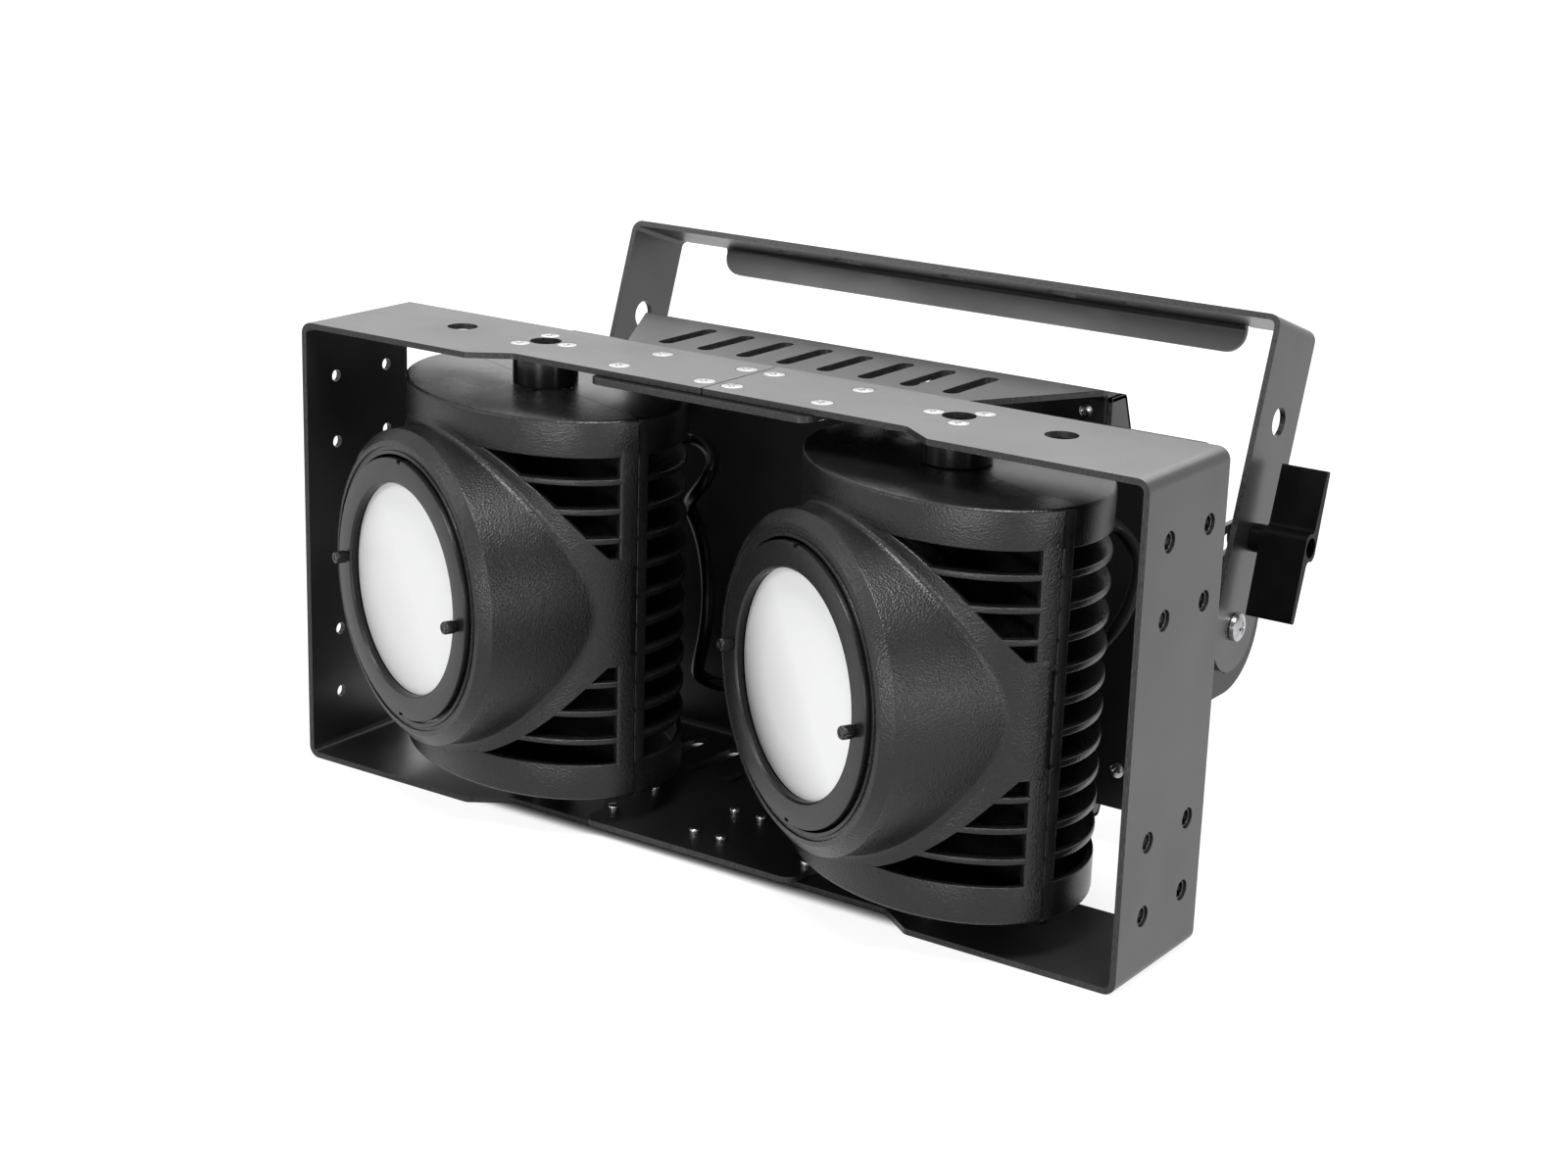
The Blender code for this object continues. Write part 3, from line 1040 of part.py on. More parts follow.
def thumbscrew():
    """Knurled thumbscrew along -Y, its head standing on the ring's face."""
    head = RING_FRONT + GAP
    return turned([(0, THUMBSCREW_END), (THUMBSCREW_SHANK_RADIUS, THUMBSCREW_END), (THUMBSCREW_SHANK_RADIUS, head),
                   (THUMBSCREW_RADIUS, head), (THUMBSCREW_RADIUS, head + THUMBSCREW_LENGTH),
                   (0, head + THUMBSCREW_LENGTH)], HOLE_STEPS, matrix=FACE_FRONT)


def reflector():
    """Thin cone from the emitter to the lens, with a rim that seats behind the flange."""
    front, back = FLANGE_BACK - GAP, SEAM + MODULE_THICKNESS + GAP
    mouth, rim = REFLECTOR_MOUTH_RADIUS, REFLECTOR_MOUTH_RADIUS + REFLECTOR_RIM
    return turned([(REFLECTOR_ROOT_RADIUS, back), (mouth, front), (rim, front), (rim, front - REFLECTOR_WALL),
                   (mouth + REFLECTOR_WALL, front - REFLECTOR_WALL), (REFLECTOR_ROOT_RADIUS + REFLECTOR_WALL, back)],
                  BOSS_STEPS, closed=True, matrix=FACE_FRONT)


def led_module():
    """Light engine on the base plate: a round carrier with the emitter in its middle."""
    front = SEAM + MODULE_THICKNESS
    return turned([(0, SEAM), (MODULE_RADIUS, SEAM), (MODULE_RADIUS, front), (EMITTER_RADIUS, front),
                   (EMITTER_RADIUS, front + EMITTER_THICKNESS), (0, front + EMITTER_THICKNESS)],
                  BOSS_STEPS, matrix=FACE_FRONT)


def pan_pin():
    """Flanged trunnion pin on the upper cap."""
    seat = DRUM_HALF_HEIGHT + GAP
    end = FRAME_INNER - GAP - PIN_DROP
    return turned([(0, seat), (PIN_FLANGE_RADIUS, seat), (PIN_FLANGE_RADIUS, seat + PIN_FLANGE_THICKNESS),
                   (PIN_RADIUS, seat + PIN_FLANGE_THICKNESS), (PIN_RADIUS, end), (0, end)], BORE_STEPS)


def lead_gland():
    """Cable gland on the heat sink's seat, pointing back."""
    base = GLAND_SEAT_REACH + GAP
    return turned([(0, base), (GLAND_RADIUS, base), (GLAND_RADIUS, base + GLAND_LENGTH * 0.6),
                   (GLAND_RADIUS * 0.7, base + GLAND_LENGTH), (0, base + GLAND_LENGTH)],
                  HOLE_STEPS, matrix=at(0, 0, GLAND_HEIGHT) @ FACE_REAR)


def bearing_boss(side, locked):
    """Boss between a cap and the frame on one side, with a bore if it has a lock screw."""
    low, high = DRUM_HALF_HEIGHT + GAP, FRAME_INNER - GAP
    bore = PIN_RADIUS + GAP
    pocket = PIN_FLANGE_RADIUS + GAP
    ledge = low + PIN_FLANGE_THICKNESS + GAP
    ring = turned([(bore, high), (BOSS_RADIUS, high), (BOSS_RADIUS, low), (pocket, low), (pocket, ledge),
                   (bore, ledge)], BOSS_STEPS, closed=True)
    depth = FRAME_HEIGHT / 2 - BOSS_SCREW_LENGTH - GAP
    tools = [rod(BOSS_SCREW_SHANK_RADIUS + GAP, depth, high + GAP, SCREW_STEPS, at(-side * x, y, 0))
             for x, y in boss_screw_spots()]
    if locked:
        tools.append(rod(LOCK_SCREW_RADIUS + GAP, PIN_RADIUS, BOSS_RADIUS + GAP, SCREW_STEPS,
                         at(0, 0, low + LOCK_SCREW_HEIGHT) @ FACE_RIGHT))
    return carve(ring, ("DIFFERENCE", joined(*tools)))


def build_bearings(datum):
    """The four pan bosses under and over the lamp heads, and the lock screws of the upper two."""
    height = DRUM_HALF_HEIGHT + GAP + LOCK_SCREW_HEIGHT
    lock = rod(LOCK_SCREW_RADIUS, PIN_RADIUS + GAP, PIN_RADIUS + GAP + LOCK_SCREW_LENGTH, SCREW_STEPS)
    for name, side in (("left", -1), ("right", 1)):
        x = side * LAMP_PITCH / 2
        place(f"{name}_top_boss", bearing_boss(side, locked=True), TURNED_BLACK, datum, at(x, PAN_AXIS_Y, 0))
        place(f"{name}_bottom_boss", bearing_boss(side, locked=False), TURNED_BLACK, datum,
              at(x, PAN_AXIS_Y, 0) @ UPSIDE_DOWN)
        place(f"{name}_lock_screw", lock, BLACK_STEEL, datum, at(x, PAN_AXIS_Y, height) @ FACE_RIGHT)


def build_heads(datum):
    """Both lamp heads, each about its upright pan axis."""
    shell, sink_casting, ring, cone, module = front_shell(), heat_sink(), retaining_ring(), reflector(), led_module()
    lens = rod(LENS_RADIUS, LENS_SEAT + GAP, RING_SEAT, SNOUT_STEPS, FACE_FRONT)
    pin, gland, screw = pan_pin(), lead_gland(), thumbscrew()
    for name, side, pan in (("left", -1, LEFT_PAN), ("right", 1, RIGHT_PAN)):
        axis = empty(f"{name}_head_axis", (side * LAMP_PITCH / 2, PAN_AXIS_Y, 0), (0, 0, -radians(pan)), datum)
        place(f"{name}_front_shell", shell, CAST_BLACK, axis)
        place(f"{name}_heat_sink", sink_casting, CAST_BLACK, axis)
        place(f"{name}_retaining_ring", ring, TURNED_BLACK, axis)
        place(f"{name}_lens", lens, OPAL_LENS, axis)
        place(f"{name}_reflector", cone, ALUMINIUM, axis)
        place(f"{name}_led_module", module, EMITTER_YELLOW, axis)
        place(f"{name}_top_pan_pin", pin, BLACK_STEEL, axis)
        place(f"{name}_bottom_pan_pin", pin, BLACK_STEEL, axis, UPSIDE_DOWN)
        place(f"{name}_lead_gland", gland, BLACK_PLASTIC, axis)
        for edge, (across, height) in zip(("left", "right"), thumbscrew_spots()):
            place(f"{name}_lens_thumbscrew_{edge}", screw, TURNED_BLACK, axis, at(across, 0, height))


# Lamp leads

LEFT_ROUTE = ((-0.0745, 0.1130, 0.0500), (-0.0610, 0.1080, 0.0455), (-0.0570, 0.0965, 0.0370),
              (-0.0680, 0.1000, 0.0260), (-0.0760, 0.1100, 0.0180), (-0.0670, 0.1040, 0.0090),
              (-0.0560, 0.0940, -0.0070), (-0.0545, 0.0900, -0.0280), (-0.0620, 0.0930, -0.0480),
              (-0.0700, 0.1050, -0.0600), (-0.0600, 0.1160, -0.0660))
RIGHT_ROUTE = ((0.1410, 0.1130, 0.0480), (0.1500, 0.1150, 0.0380), (0.1510, 0.1110, 0.0220),
               (0.1460, 0.1060, 0.0060), (0.1340, 0.1060, -0.0080), (0.1190, 0.1110, -0.0200))


def smooth_route(points, step):
    """Even points along a Catmull-Rom curve through the route's points."""
    knots = [Vector(point) for point in points]
    knots = [2 * knots[0] - knots[1]] + knots + [2 * knots[-1] - knots[-2]]
    dense = []
    samples = 40
    for before, start, end, after in zip(knots, knots[1:], knots[2:], knots[3:]):
        for sample in range(samples):
            t = sample / samples
            dense.append(0.5 * (2 * start + (end - before) * t
                                + (2 * before - 5 * start + 4 * end - after) * t ** 2
                                + (3 * start - before - 3 * end + after) * t ** 3))
    dense.append(knots[-2])
    lengths = [0.0]
    for start, end in zip(dense, dense[1:]):
        lengths.append(lengths[-1] + (end - start).length)
    count = max(2, round(lengths[-1] / step))
    even = []
    index = 0
    for number in range(count + 1):
        target = lengths[-1] * number / count
        while index < len(lengths) - 2 and lengths[index + 1] < target:
            index += 1
        share = (target - lengths[index]) / (lengths[index + 1] - lengths[index])
        even.append(dense[index].lerp(dense[index + 1], share))
    return even, lengths[-1]


def lamp_lead(name, head_x, pan, route, grommet, datum):
    """Lead from the gland behind a head, through its slack loop, to the grommet in the chassis."""
    back = Vector((sin(radians(pan)), cos(radians(pan)), 0))
    centre = Vector((head_x, PAN_AXIS_Y, GLAND_HEIGHT))
    gland_end = GLAND_SEAT_REACH + GLAND_LENGTH + 2 * GAP
    first = centre + back * gland_end
    last = Vector((grommet[0], CHASSIS_FRONT - GROMMET_RIM - 2 * GAP, grommet[1]))
    straight = 2 * LEAD_RADIUS
    knots = [first + back * straight, *route, last - Vector((0, straight, 0))]
    points, length = smooth_route(knots, LEAD_STEP)
    points = [first, *points, last]
    curve = bpy.data.curves.new(name, "CURVE")
    curve.dimensions = "3D"
    curve.bevel_depth = LEAD_RADIUS
    curve.bevel_resolution = 2
    curve.use_fill_caps = True
    spline = curve.splines.new("POLY")
    spline.points.add(len(points) - 1)
    for target, point in zip(spline.points, points):
        target.co = (*point, 1)
    place(name, curve, CABLE, datum)
    print(name, "length", round(length + 2 * straight, 4))


def set_on_floor(datum):
    """Moves the whole object so that the middle of its box, at its base, is the world origin."""
    bpy.context.view_layer.update()
    depsgraph = bpy.context.evaluated_depsgraph_get()
    corners = []
    for piece in bpy.context.scene.objects:
        if piece.type in ("MESH", "CURVE"):
            mesh = piece.evaluated_get(depsgraph).to_mesh()
            corners += [piece.matrix_world @ vert.co for vert in mesh.vertices]
    low = [min(corner[axis] for corner in corners) for axis in range(3)]
    high = [max(corner[axis] for corner in corners) for axis in range(3)]
    datum.location = (-(low[0] + high[0]) / 2, -(low[1] + high[1]) / 2, -low[2])
    print("origin shift", [round(value, 6) for value in datum.location])
    print("size", [round(b - a, 6) for a, b in zip(low, high)])


def main():
    """Builds the whole blinder."""
    clear_scene()
    datum = empty("datum")
    build_frame(datum)
    build_chassis(datum)
    build_electronics(datum)
    build_yoke(datum)
    build_bearings(datum)
    build_heads(datum)
    half = LAMP_PITCH / 2
    lamp_lead("left_lamp_lead", -half, LEFT_PAN, LEFT_ROUTE, LEFT_GROMMET, datum)
    lamp_lead("right_lamp_lead", half, RIGHT_PAN, RIGHT_ROUTE, RIGHT_GROMMET, datum)
    set_on_floor(datum)


main()
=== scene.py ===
# %% [markdown]
# # Audience blinder
#
# Two round lamp heads swivel in a folded sheet-metal frame, and a yoke behind them tilts the whole
# light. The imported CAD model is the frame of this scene: it says where every piece sits and moves.
# Here each visible piece gets the shape and the finish that the photograph shows. The rear and the
# inside are not in it, so what stands there is a guess at what such a light has.
# Everything is worked out in millimetres about the middle of the frame's front opening, with X to
# the right, Y to the back and Z up, and is moved to the frame's own place at the end.

from math import acos, asin, atan2, cos, pi, radians, sin, sqrt, tan

import bmesh
import bpy
import numpy as np
from mathutils import Matrix, Vector


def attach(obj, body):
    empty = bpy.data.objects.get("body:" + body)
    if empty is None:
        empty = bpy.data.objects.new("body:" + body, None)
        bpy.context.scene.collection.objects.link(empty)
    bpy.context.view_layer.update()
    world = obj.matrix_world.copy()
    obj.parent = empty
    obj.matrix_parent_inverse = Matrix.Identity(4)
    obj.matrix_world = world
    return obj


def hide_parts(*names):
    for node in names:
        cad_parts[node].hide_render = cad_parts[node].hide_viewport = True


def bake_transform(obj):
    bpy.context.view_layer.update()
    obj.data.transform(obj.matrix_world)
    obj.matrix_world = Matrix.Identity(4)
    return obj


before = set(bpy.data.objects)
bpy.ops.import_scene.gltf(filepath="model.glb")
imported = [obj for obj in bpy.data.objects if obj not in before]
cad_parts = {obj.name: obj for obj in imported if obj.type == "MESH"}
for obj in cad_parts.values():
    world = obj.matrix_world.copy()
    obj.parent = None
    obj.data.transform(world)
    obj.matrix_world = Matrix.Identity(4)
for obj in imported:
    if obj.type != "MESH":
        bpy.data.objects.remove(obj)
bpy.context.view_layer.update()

# %% [markdown]
# ## Camera
# The photograph was taken from the front right, a little above, with a lens that is long enough to
# keep the far side from shrinking much. Place, direction, roll and lens were fitted to the corners
# and holes of the frame in the photograph, so the render can be laid over it. Nothing in the
# photograph has a known size: the scale, 420 mm for the width of the frame, is an estimate.

# %% Camera
CAMERA_PLACE = Vector((0.6457, -0.964887, 0.4531))
CAMERA_FORWARD = Vector((-0.5362, 0.7929, -0.2895)).normalized()
CAMERA_ROLL = radians(1.82)

level_right = CAMERA_FORWARD.cross(Vector((0, 0, 1))).normalized()
level_up = level_right.cross(CAMERA_FORWARD)
right = level_right * cos(CAMERA_ROLL) + level_up * sin(CAMERA_ROLL)
up = level_up * cos(CAMERA_ROLL) - level_right * sin(CAMERA_ROLL)
camera = bpy.data.objects.new("camera", bpy.data.cameras.new("camera"))
camera.data.lens = 63.8
camera.data.sensor_width = 36.0
camera.matrix_world = Matrix((
    (right.x, up.x, -CAMERA_FORWARD.x, CAMERA_PLACE.x),
    (right.y, up.y, -CAMERA_FORWARD.y, CAMERA_PLACE.y),
    (right.z, up.z, -CAMERA_FORWARD.z, CAMERA_PLACE.z),
    (0, 0, 0, 1)))
bpy.context.scene.collection.objects.link(camera)
bpy.context.scene.camera = camera
bpy.context.scene.view_settings.view_transform = "Standard"
print("camera at", tuple(round(value, 3) for value in CAMERA_PLACE))

# %% [markdown]
# ## Making meshes from arrays
# Nearly every piece here is a surface with two parameters: points[row, column]. Neighbouring
# points make a quad, and a direction that wraps meets its own start. `solid` then welds the seams
# and poles and turns the faces outwards, which it proves by the sign of the enclosed volume.

# %% Grids and solids
TO_FRAME = Matrix.Scale(0.001, 4) @ Matrix.Translation((0.0, -86.587, 102.0))
WELD = 0.0005


def at(x, y, z):
    """A shift in millimetres as a matrix."""
    return Matrix.Translation((x, y, z))


def axes(x, y, z):
    """A matrix from its three rows, each with the shift as its fourth number."""
    return Matrix((x, y, z, (0, 0, 0, 1)))


EYE = Matrix.Identity(4)
TO_FRONT = Matrix.Rotation(pi / 2, 4, "X")        # what points up now points to the front
TO_REAR = Matrix.Rotation(-pi / 2, 4, "X")
OVER = Matrix.Rotation(pi, 4, "X")
TO_RIGHT = Matrix.Rotation(pi / 2, 4, "Y")
TO_LEFT = Matrix.Rotation(-pi / 2, 4, "Y")
SIDES = (("left", -1, TO_LEFT), ("right", 1, TO_RIGHT))
BOTH = (-1, 1)


def grid(points, wrap_rows=False, wrap_columns=False, caps=False):
    """Quads between the neighbours of points[row, column]; caps fill the first and last row."""
    rows, columns = points.shape[:2]
    index = np.arange(rows * columns).reshape(rows, columns)
    ends = [index[0].tolist(), index[-1].tolist()] if caps else []
    if wrap_rows:
        index = np.vstack((index, index[:1]))
    if wrap_columns:
        index = np.hstack((index, index[:, :1]))
    quads = np.stack((index[:-1, :-1], index[1:, :-1], index[1:, 1:], index[:-1, 1:]), axis=-1)
    return points.reshape(-1, 3), quads.reshape(-1, 4).tolist() + ends


def outward(bm):
    """Turns the faces of one closed body outwards and returns it as a mesh."""
    bmesh.ops.recalc_face_normals(bm, faces=bm.faces[:])
    if bm.calc_volume(signed=True) < 0:
        bmesh.ops.reverse_faces(bm, faces=bm.faces[:])
    mesh = bpy.data.meshes.new("shape")
    bm.to_mesh(mesh)
    bm.free()
    return mesh


def solid(points, **shape):
    """A closed surface of points[row, column], welded and with its faces outwards."""
    loose = bpy.data.meshes.new("loose")
    corners, faces = grid(points, **shape)
    loose.from_pydata(corners, [], faces)
    bm = bmesh.new()
    bm.from_mesh(loose)
    bpy.data.meshes.remove(loose)
    bmesh.ops.remove_doubles(bm, verts=bm.verts[:], dist=WELD)
    return outward(bm)


def rounded(corners, steps=4):
    """Outline through (x, y, radius) corners: each rounded one becomes an arc tangent to both sides."""
    points = []
    for index, (x, y, radius) in enumerate(corners):
        if radius == 0:
            points.append((x, y))
            continue
        corner = Vector((x, y))
        before = (Vector(corners[index - 1][:2]) - corner).normalized()
        after = (Vector(corners[(index + 1) % len(corners)][:2]) - corner).normalized()
        half = before.angle(after) / 2
        middle = corner + (before + after).normalized() * (radius / sin(half))
        first = corner + before * (radius / tan(half)) - middle
        last = corner + after * (radius / tan(half)) - middle
        start = atan2(first.y, first.x)
        sweep = (atan2(last.y, last.x) - start + pi) % (2 * pi) - pi
        turn = start + sweep * np.linspace(0, 1, steps + 1)
        points += list(zip(middle.x + radius * np.cos(turn), middle.y + radius * np.sin(turn)))
    return np.array(points, float)


def box_outline(x0, y0, x1, y1, radius, steps=4):
    """Rectangle with rounded corners."""
    return rounded([(x0, y0, radius), (x1, y0, radius), (x1, y1, radius), (x0, y1, radius)], steps)


def both_sides(side):
    """A row of (x, y, radius) corners and its mirror image, as one closed outline."""
    return side + [(-x, y, radius) for x, y, radius in reversed(side)]


def full_turn(steps):
    """Directions evenly round a circle, one a row."""
    return np.linspace(0, 2 * pi, steps, endpoint=False)[:, None]


def about_z(turn, radius, height):
    """Points at x = r cos a, y = r sin a and that height."""
    return np.stack(np.broadcast_arrays(radius * np.cos(turn), radius * np.sin(turn), height), axis=-1)


def ring_of(radius, steps=32, centre=(0, 0)):
    """Points evenly round a circle."""
    turn = full_turn(steps)[:, 0]
    return np.stack((centre[0] + radius * np.cos(turn), centre[1] + radius * np.sin(turn)), axis=1)


def turned(corners, steps=64, ring=False, arc_steps=4):
    """Turns a profile of (radius, height, rounding) corners about Z. A ring's profile is closed."""
    radius, height = rounded(corners, arc_steps).T
    return solid(about_z(full_turn(steps), radius, height), wrap_rows=True, wrap_columns=ring)


def prism(outline, low, high, edge=0.0, steps=3):
    """Carries an outline from one height to another. Its rims draw in by `edge` along a quarter circle."""
    inset, height = np.zeros(2), np.array([low, high], float)
    if edge:
        turn = np.linspace(0, pi / 2, steps + 1)
        inset = np.concatenate((edge * (1 - np.sin(turn)), edge * (1 - np.sin(turn[::-1]))))
        height = np.concatenate((low + edge * (1 - np.cos(turn)), high - edge * (1 - np.cos(turn[::-1]))))
    ahead, behind = np.roll(outline, -1, axis=0) - outline, outline - np.roll(outline, 1, axis=0)
    ahead /= np.linalg.norm(ahead, axis=1)[:, None]
    behind /= np.linalg.norm(behind, axis=1)[:, None]
    area = np.sum(outline[:, 0] * np.roll(outline[:, 1], -1) - outline[:, 1] * np.roll(outline[:, 0], -1))
    side = ahead + behind
    inward = np.stack((-side[:, 1], side[:, 0]), axis=1) * np.sign(area)
    inward /= np.linalg.norm(inward, axis=1)[:, None]
    flat = outline[None] + inward[None] * inset[:, None, None]
    heights = np.broadcast_to(height[:, None, None], flat.shape[:2] + (1,))
    return solid(np.concatenate((flat, heights), axis=2), wrap_columns=True, caps=True)


def filled(bm, loops, height, thickness):
    """Fills flat loops at a height and gives the sheet a thickness; returns each loop's lower points."""
    rims = []
    for loop in loops:
        rim = [bm.verts.new((x, y, height)) for x, y in loop]
        for first, second in zip(rim, rim[1:] + rim[:1]):
            bm.edges.new((first, second))
        rims.append(rim)
    bmesh.ops.triangle_fill(bm, use_beauty=True, edges=bm.edges[:])
    grown = bmesh.ops.extrude_face_region(bm, geom=bm.faces[:])
    lifted = [item for item in grown["geom"] if isinstance(item, bmesh.types.BMVert)]
    bmesh.ops.translate(bm, vec=(0, 0, thickness), verts=lifted)
    return rims


# %% [markdown]
# ## Handing a piece over
# A finished piece is one object at the origin with its place in its mesh. It rides on the CAD body
# that it moves with, gets its finish, and hides the CAD nodes that it stands for. Cut edges of sheet
# metal get their own finish as a second material. A lamp lead runs between two bodies, so it rides
# on none here.

# %% Pieces
made = {}


def piece(name, shapes, finish, body, replaces=(), edge_finish=None, bevel=0.0, sharp=35):
    """One object from (mesh, matrix) pairs in millimetres, riding on `body`."""
    bm = bmesh.new()
    for mesh, matrix in shapes:
        known, known_faces = len(bm.verts), len(bm.faces)
        bm.from_mesh(mesh)
        bm.verts.ensure_lookup_table()
        bm.faces.ensure_lookup_table()
        bmesh.ops.transform(bm, matrix=matrix, verts=bm.verts[known:])
        if matrix.determinant() < 0:
            bmesh.ops.reverse_faces(bm, faces=bm.faces[known_faces:])
    bm.transform(TO_FRAME)
    mesh = bpy.data.meshes.new(name)
    bm.to_mesh(mesh)
    bm.free()
    mesh.materials.append(finish)
    if edge_finish:
        mesh.materials.append(edge_finish)
    mesh.shade_smooth()
    mesh.set_sharp_from_angle(angle=radians(sharp))
    thing = bpy.data.objects.new(name, mesh)
    bpy.context.scene.collection.objects.link(thing)
    if bevel:
        soften = thing.modifiers.new("worn edges", "BEVEL")
        soften.width = bevel * 0.001
        soften.segments = 2
        soften.limit_method = "ANGLE"
        soften.angle_limit = radians(40)
        soften.harden_normals = True
        thing.modifiers.new("flat faces stay flat", "WEIGHTED_NORMAL").keep_sharp = True
    if body:
        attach(thing, body)
    if replaces:
        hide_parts(*replaces)
    made[name] = thing
    return thing


def placed(shapes, here):
    """The same (mesh, matrix) pairs, each moved by one more matrix."""
    return [(mesh, here @ matrix) for mesh, matrix in shapes]


# %% [markdown]
# ## Finishes
# Nothing on such a light is a plain colour. Powder coat has a fine orange peel and carries dust of
# slightly lighter grains, castings wear a leathery paint, turned rings show faint tool marks, zinc
# plate is cloudy. Each finish is worked out from the piece's own coordinates in metres, so its
# grain keeps its real size, and a number that is the same all over sits on the shader itself.

# %% Node helpers
def node(tree, kind, inputs, output=0, **settings):
    """A node with these inputs, each a socket, a number or a colour; gives one of its outputs."""
    new = tree.nodes.new("ShaderNode" + kind)
    for setting, value in settings.items():
        setattr(new, setting, value)
    for name, value in inputs.items():
        if isinstance(value, bpy.types.NodeSocket):
            tree.links.new(value, new.inputs[name])
        else:
            new.inputs[name].default_value = value
    return new.outputs[output]


def new_finish(name, roughness, metallic=0.0, specular=0.5, coat=0.0, coat_roughness=0.1):
    """An empty Principled finish, its node tree and the socket of its object coordinates."""
    look = bpy.data.materials.new(name)
    look.use_nodes = True
    shader = look.node_tree.nodes["Principled BSDF"]
    for socket, value in (("Roughness", roughness), ("Metallic", metallic), ("Coat Weight", coat),
                          ("Specular IOR Level", specular), ("Coat Roughness", coat_roughness)):
        shader.inputs[socket].default_value = value
    return look, look.node_tree, node(look.node_tree, "TexCoord", {}, "Object")


def paint(tree, socket, value):
    """Links a value to a socket of the finish's shader."""
    tree.links.new(value, tree.nodes["Principled BSDF"].inputs[socket])


def stretched(tree, place, scale=(1, 1, 1), turn=(0, 0, 0), shift=(0, 0, 0)):
    """The same coordinates scaled, turned and moved."""
    return node(tree, "Mapping", {"Vector": place, "Scale": scale, "Rotation": turn, "Location": shift})


def noise(tree, place, scale, detail=3.0):
    """Cloudy noise; scale is in clouds per metre."""
    return node(tree, "TexNoise", {"Vector": place, "Scale": scale, "Detail": detail, "Roughness": 0.55},
                "Fac")


def remap(tree, value, low, high, to_low, to_high, ends="LINEAR"):
    """Stretches a value from one range to another, with straight or soft ends."""
    return node(tree, "MapRange", {"Value": value, "From Min": low, "From Max": high, "To Min": to_low,
                                   "To Max": to_high}, "Result", interpolation_type=ends)


def combined(tree, operation, first, second=0.0):
    """A Math node on sockets or numbers."""
    return node(tree, "Math", {0: first, 1: second}, operation=operation)


def coloured(tree, amount, dark, light):
    """Base colour that goes from one colour to another."""
    paint(tree, "Base Color", node(tree, "Mix", {"Factor": amount, 6: (*dark, 1.0), 7: (*light, 1.0)}, 2,
                                   data_type="RGBA"))


def glossed(tree, value, roughness, smoother, rougher):
    """Roughness that swings about its middle with a noise."""
    paint(tree, "Roughness", remap(tree, value, 0.3, 0.7, roughness - smoother, roughness + rougher))


def bumped(tree, height, depth):
    """Relief of that depth in millimetres."""
    paint(tree, "Normal", node(tree, "Bump", {"Height": height, "Distance": depth * 0.001, "Strength": 1.0},
                               "Normal"))


# %% [markdown]
# ### Powder coat, cut edges and moulded parts
# The frame, chassis, yoke and cover wear the same satin powder coat: an orange peel under a
# millimetre across, and a slow drift of gloss where the coat is thicker. The chassis's copy is darker
# and reflects less, a painted shade for its back plate deep inside the frame. Moulded parts have a
# finer, spark-eroded grain and drift faster. On the cut edges of the sheet the coat is thin, so
# they look smoother and brighter, with fine lines across from the cut.

# %% Powder coat, mouldings and cut edges
def grained(name, dark, light, roughness, grain, depth, specular, drift_scale=60, drift_detail=2.0,
            rougher=0.05):
    """Fine grain over a slow drift: colour follows their product, gloss the drift, relief the grain."""
    look, tree, place = new_finish(name, roughness, specular=specular)
    pits = noise(tree, place, grain, 2.0)
    drift = noise(tree, place, drift_scale, drift_detail)
    coloured(tree, combined(tree, "MULTIPLY", pits, drift), dark, light)
    glossed(tree, drift, roughness, 0.05, rougher)
    bumped(tree, pits, depth)
    return look


def powder_coat(name, dark, light, roughness, specular=0.70):
    """Satin coat with orange peel."""
    return grained(name, dark, light, roughness, 1900, 0.030, specular, 14, 3.0, 0.06)


def moulded(name, dark, light, roughness, grain=1500, depth=0.02, specular=0.5):
    """Moulded plastic or rubber with a fine spark-eroded grain."""
    return grained(name, dark, light, roughness, grain, depth, specular)


def cut_edge():
    """Thin coat over the lines that cutting leaves in the edge of the sheet."""
    look, tree, place = new_finish("cut_edge", 0.34, specular=0.30)
    lines = noise(tree, stretched(tree, place, (2600, 2600, 350)), 1.0, 2.0)
    coloured(tree, remap(tree, lines, 0.35, 0.7, 0.0, 1.0), (0.006, 0.006, 0.0062), (0.040, 0.040, 0.0415))
    bumped(tree, lines, 0.02)
    return look


frame_coat = powder_coat("frame_coat", (0.005, 0.005, 0.0052), (0.020, 0.020, 0.0205), 0.36)
# The chassis's coat is darker than the frame's: painted shade for the back plate inside the frame
chassis_coat = powder_coat("chassis_coat", (0.005, 0.005, 0.0052), (0.013, 0.013, 0.0133), 0.36, 0.28)
yoke_coat = powder_coat("yoke_coat", (0.005, 0.005, 0.0052), (0.020, 0.020, 0.0205), 0.36)
cover_coat = powder_coat("cover_coat", (0.006, 0.006, 0.0062), (0.021, 0.021, 0.0215), 0.40)
edge_coat = cut_edge()
knob_black = moulded("knob_black", (0.0015, 0.0015, 0.0016), (0.004, 0.004, 0.0041), 0.34, 1700, 0.03, 0.05)
button_black = moulded("button_black", (0.010, 0.010, 0.0105), (0.032, 0.032, 0.033), 0.42, 2200, 0.012)
plastic_black = moulded("plastic_black", (0.008, 0.008, 0.0085), (0.030, 0.030, 0.031), 0.38, 1800, 0.015)
plastic_blue = moulded("plastic_blue", (0.018, 0.06, 0.34), (0.05, 0.14, 0.60), 0.36, 1800, 0.012)
plastic_grey = moulded("plastic_grey", (0.44, 0.45, 0.47), (0.66, 0.67, 0.69), 0.38, 1800, 0.012)
rubber_black = moulded("rubber_black", (0.009, 0.009, 0.009), (0.026, 0.026, 0.026), 0.62, 1300, 0.03)
cable_black = moulded("cable_black", (0.003, 0.003, 0.0032), (0.007, 0.007, 0.0072), 0.34, 900, 0.01, 0.12)

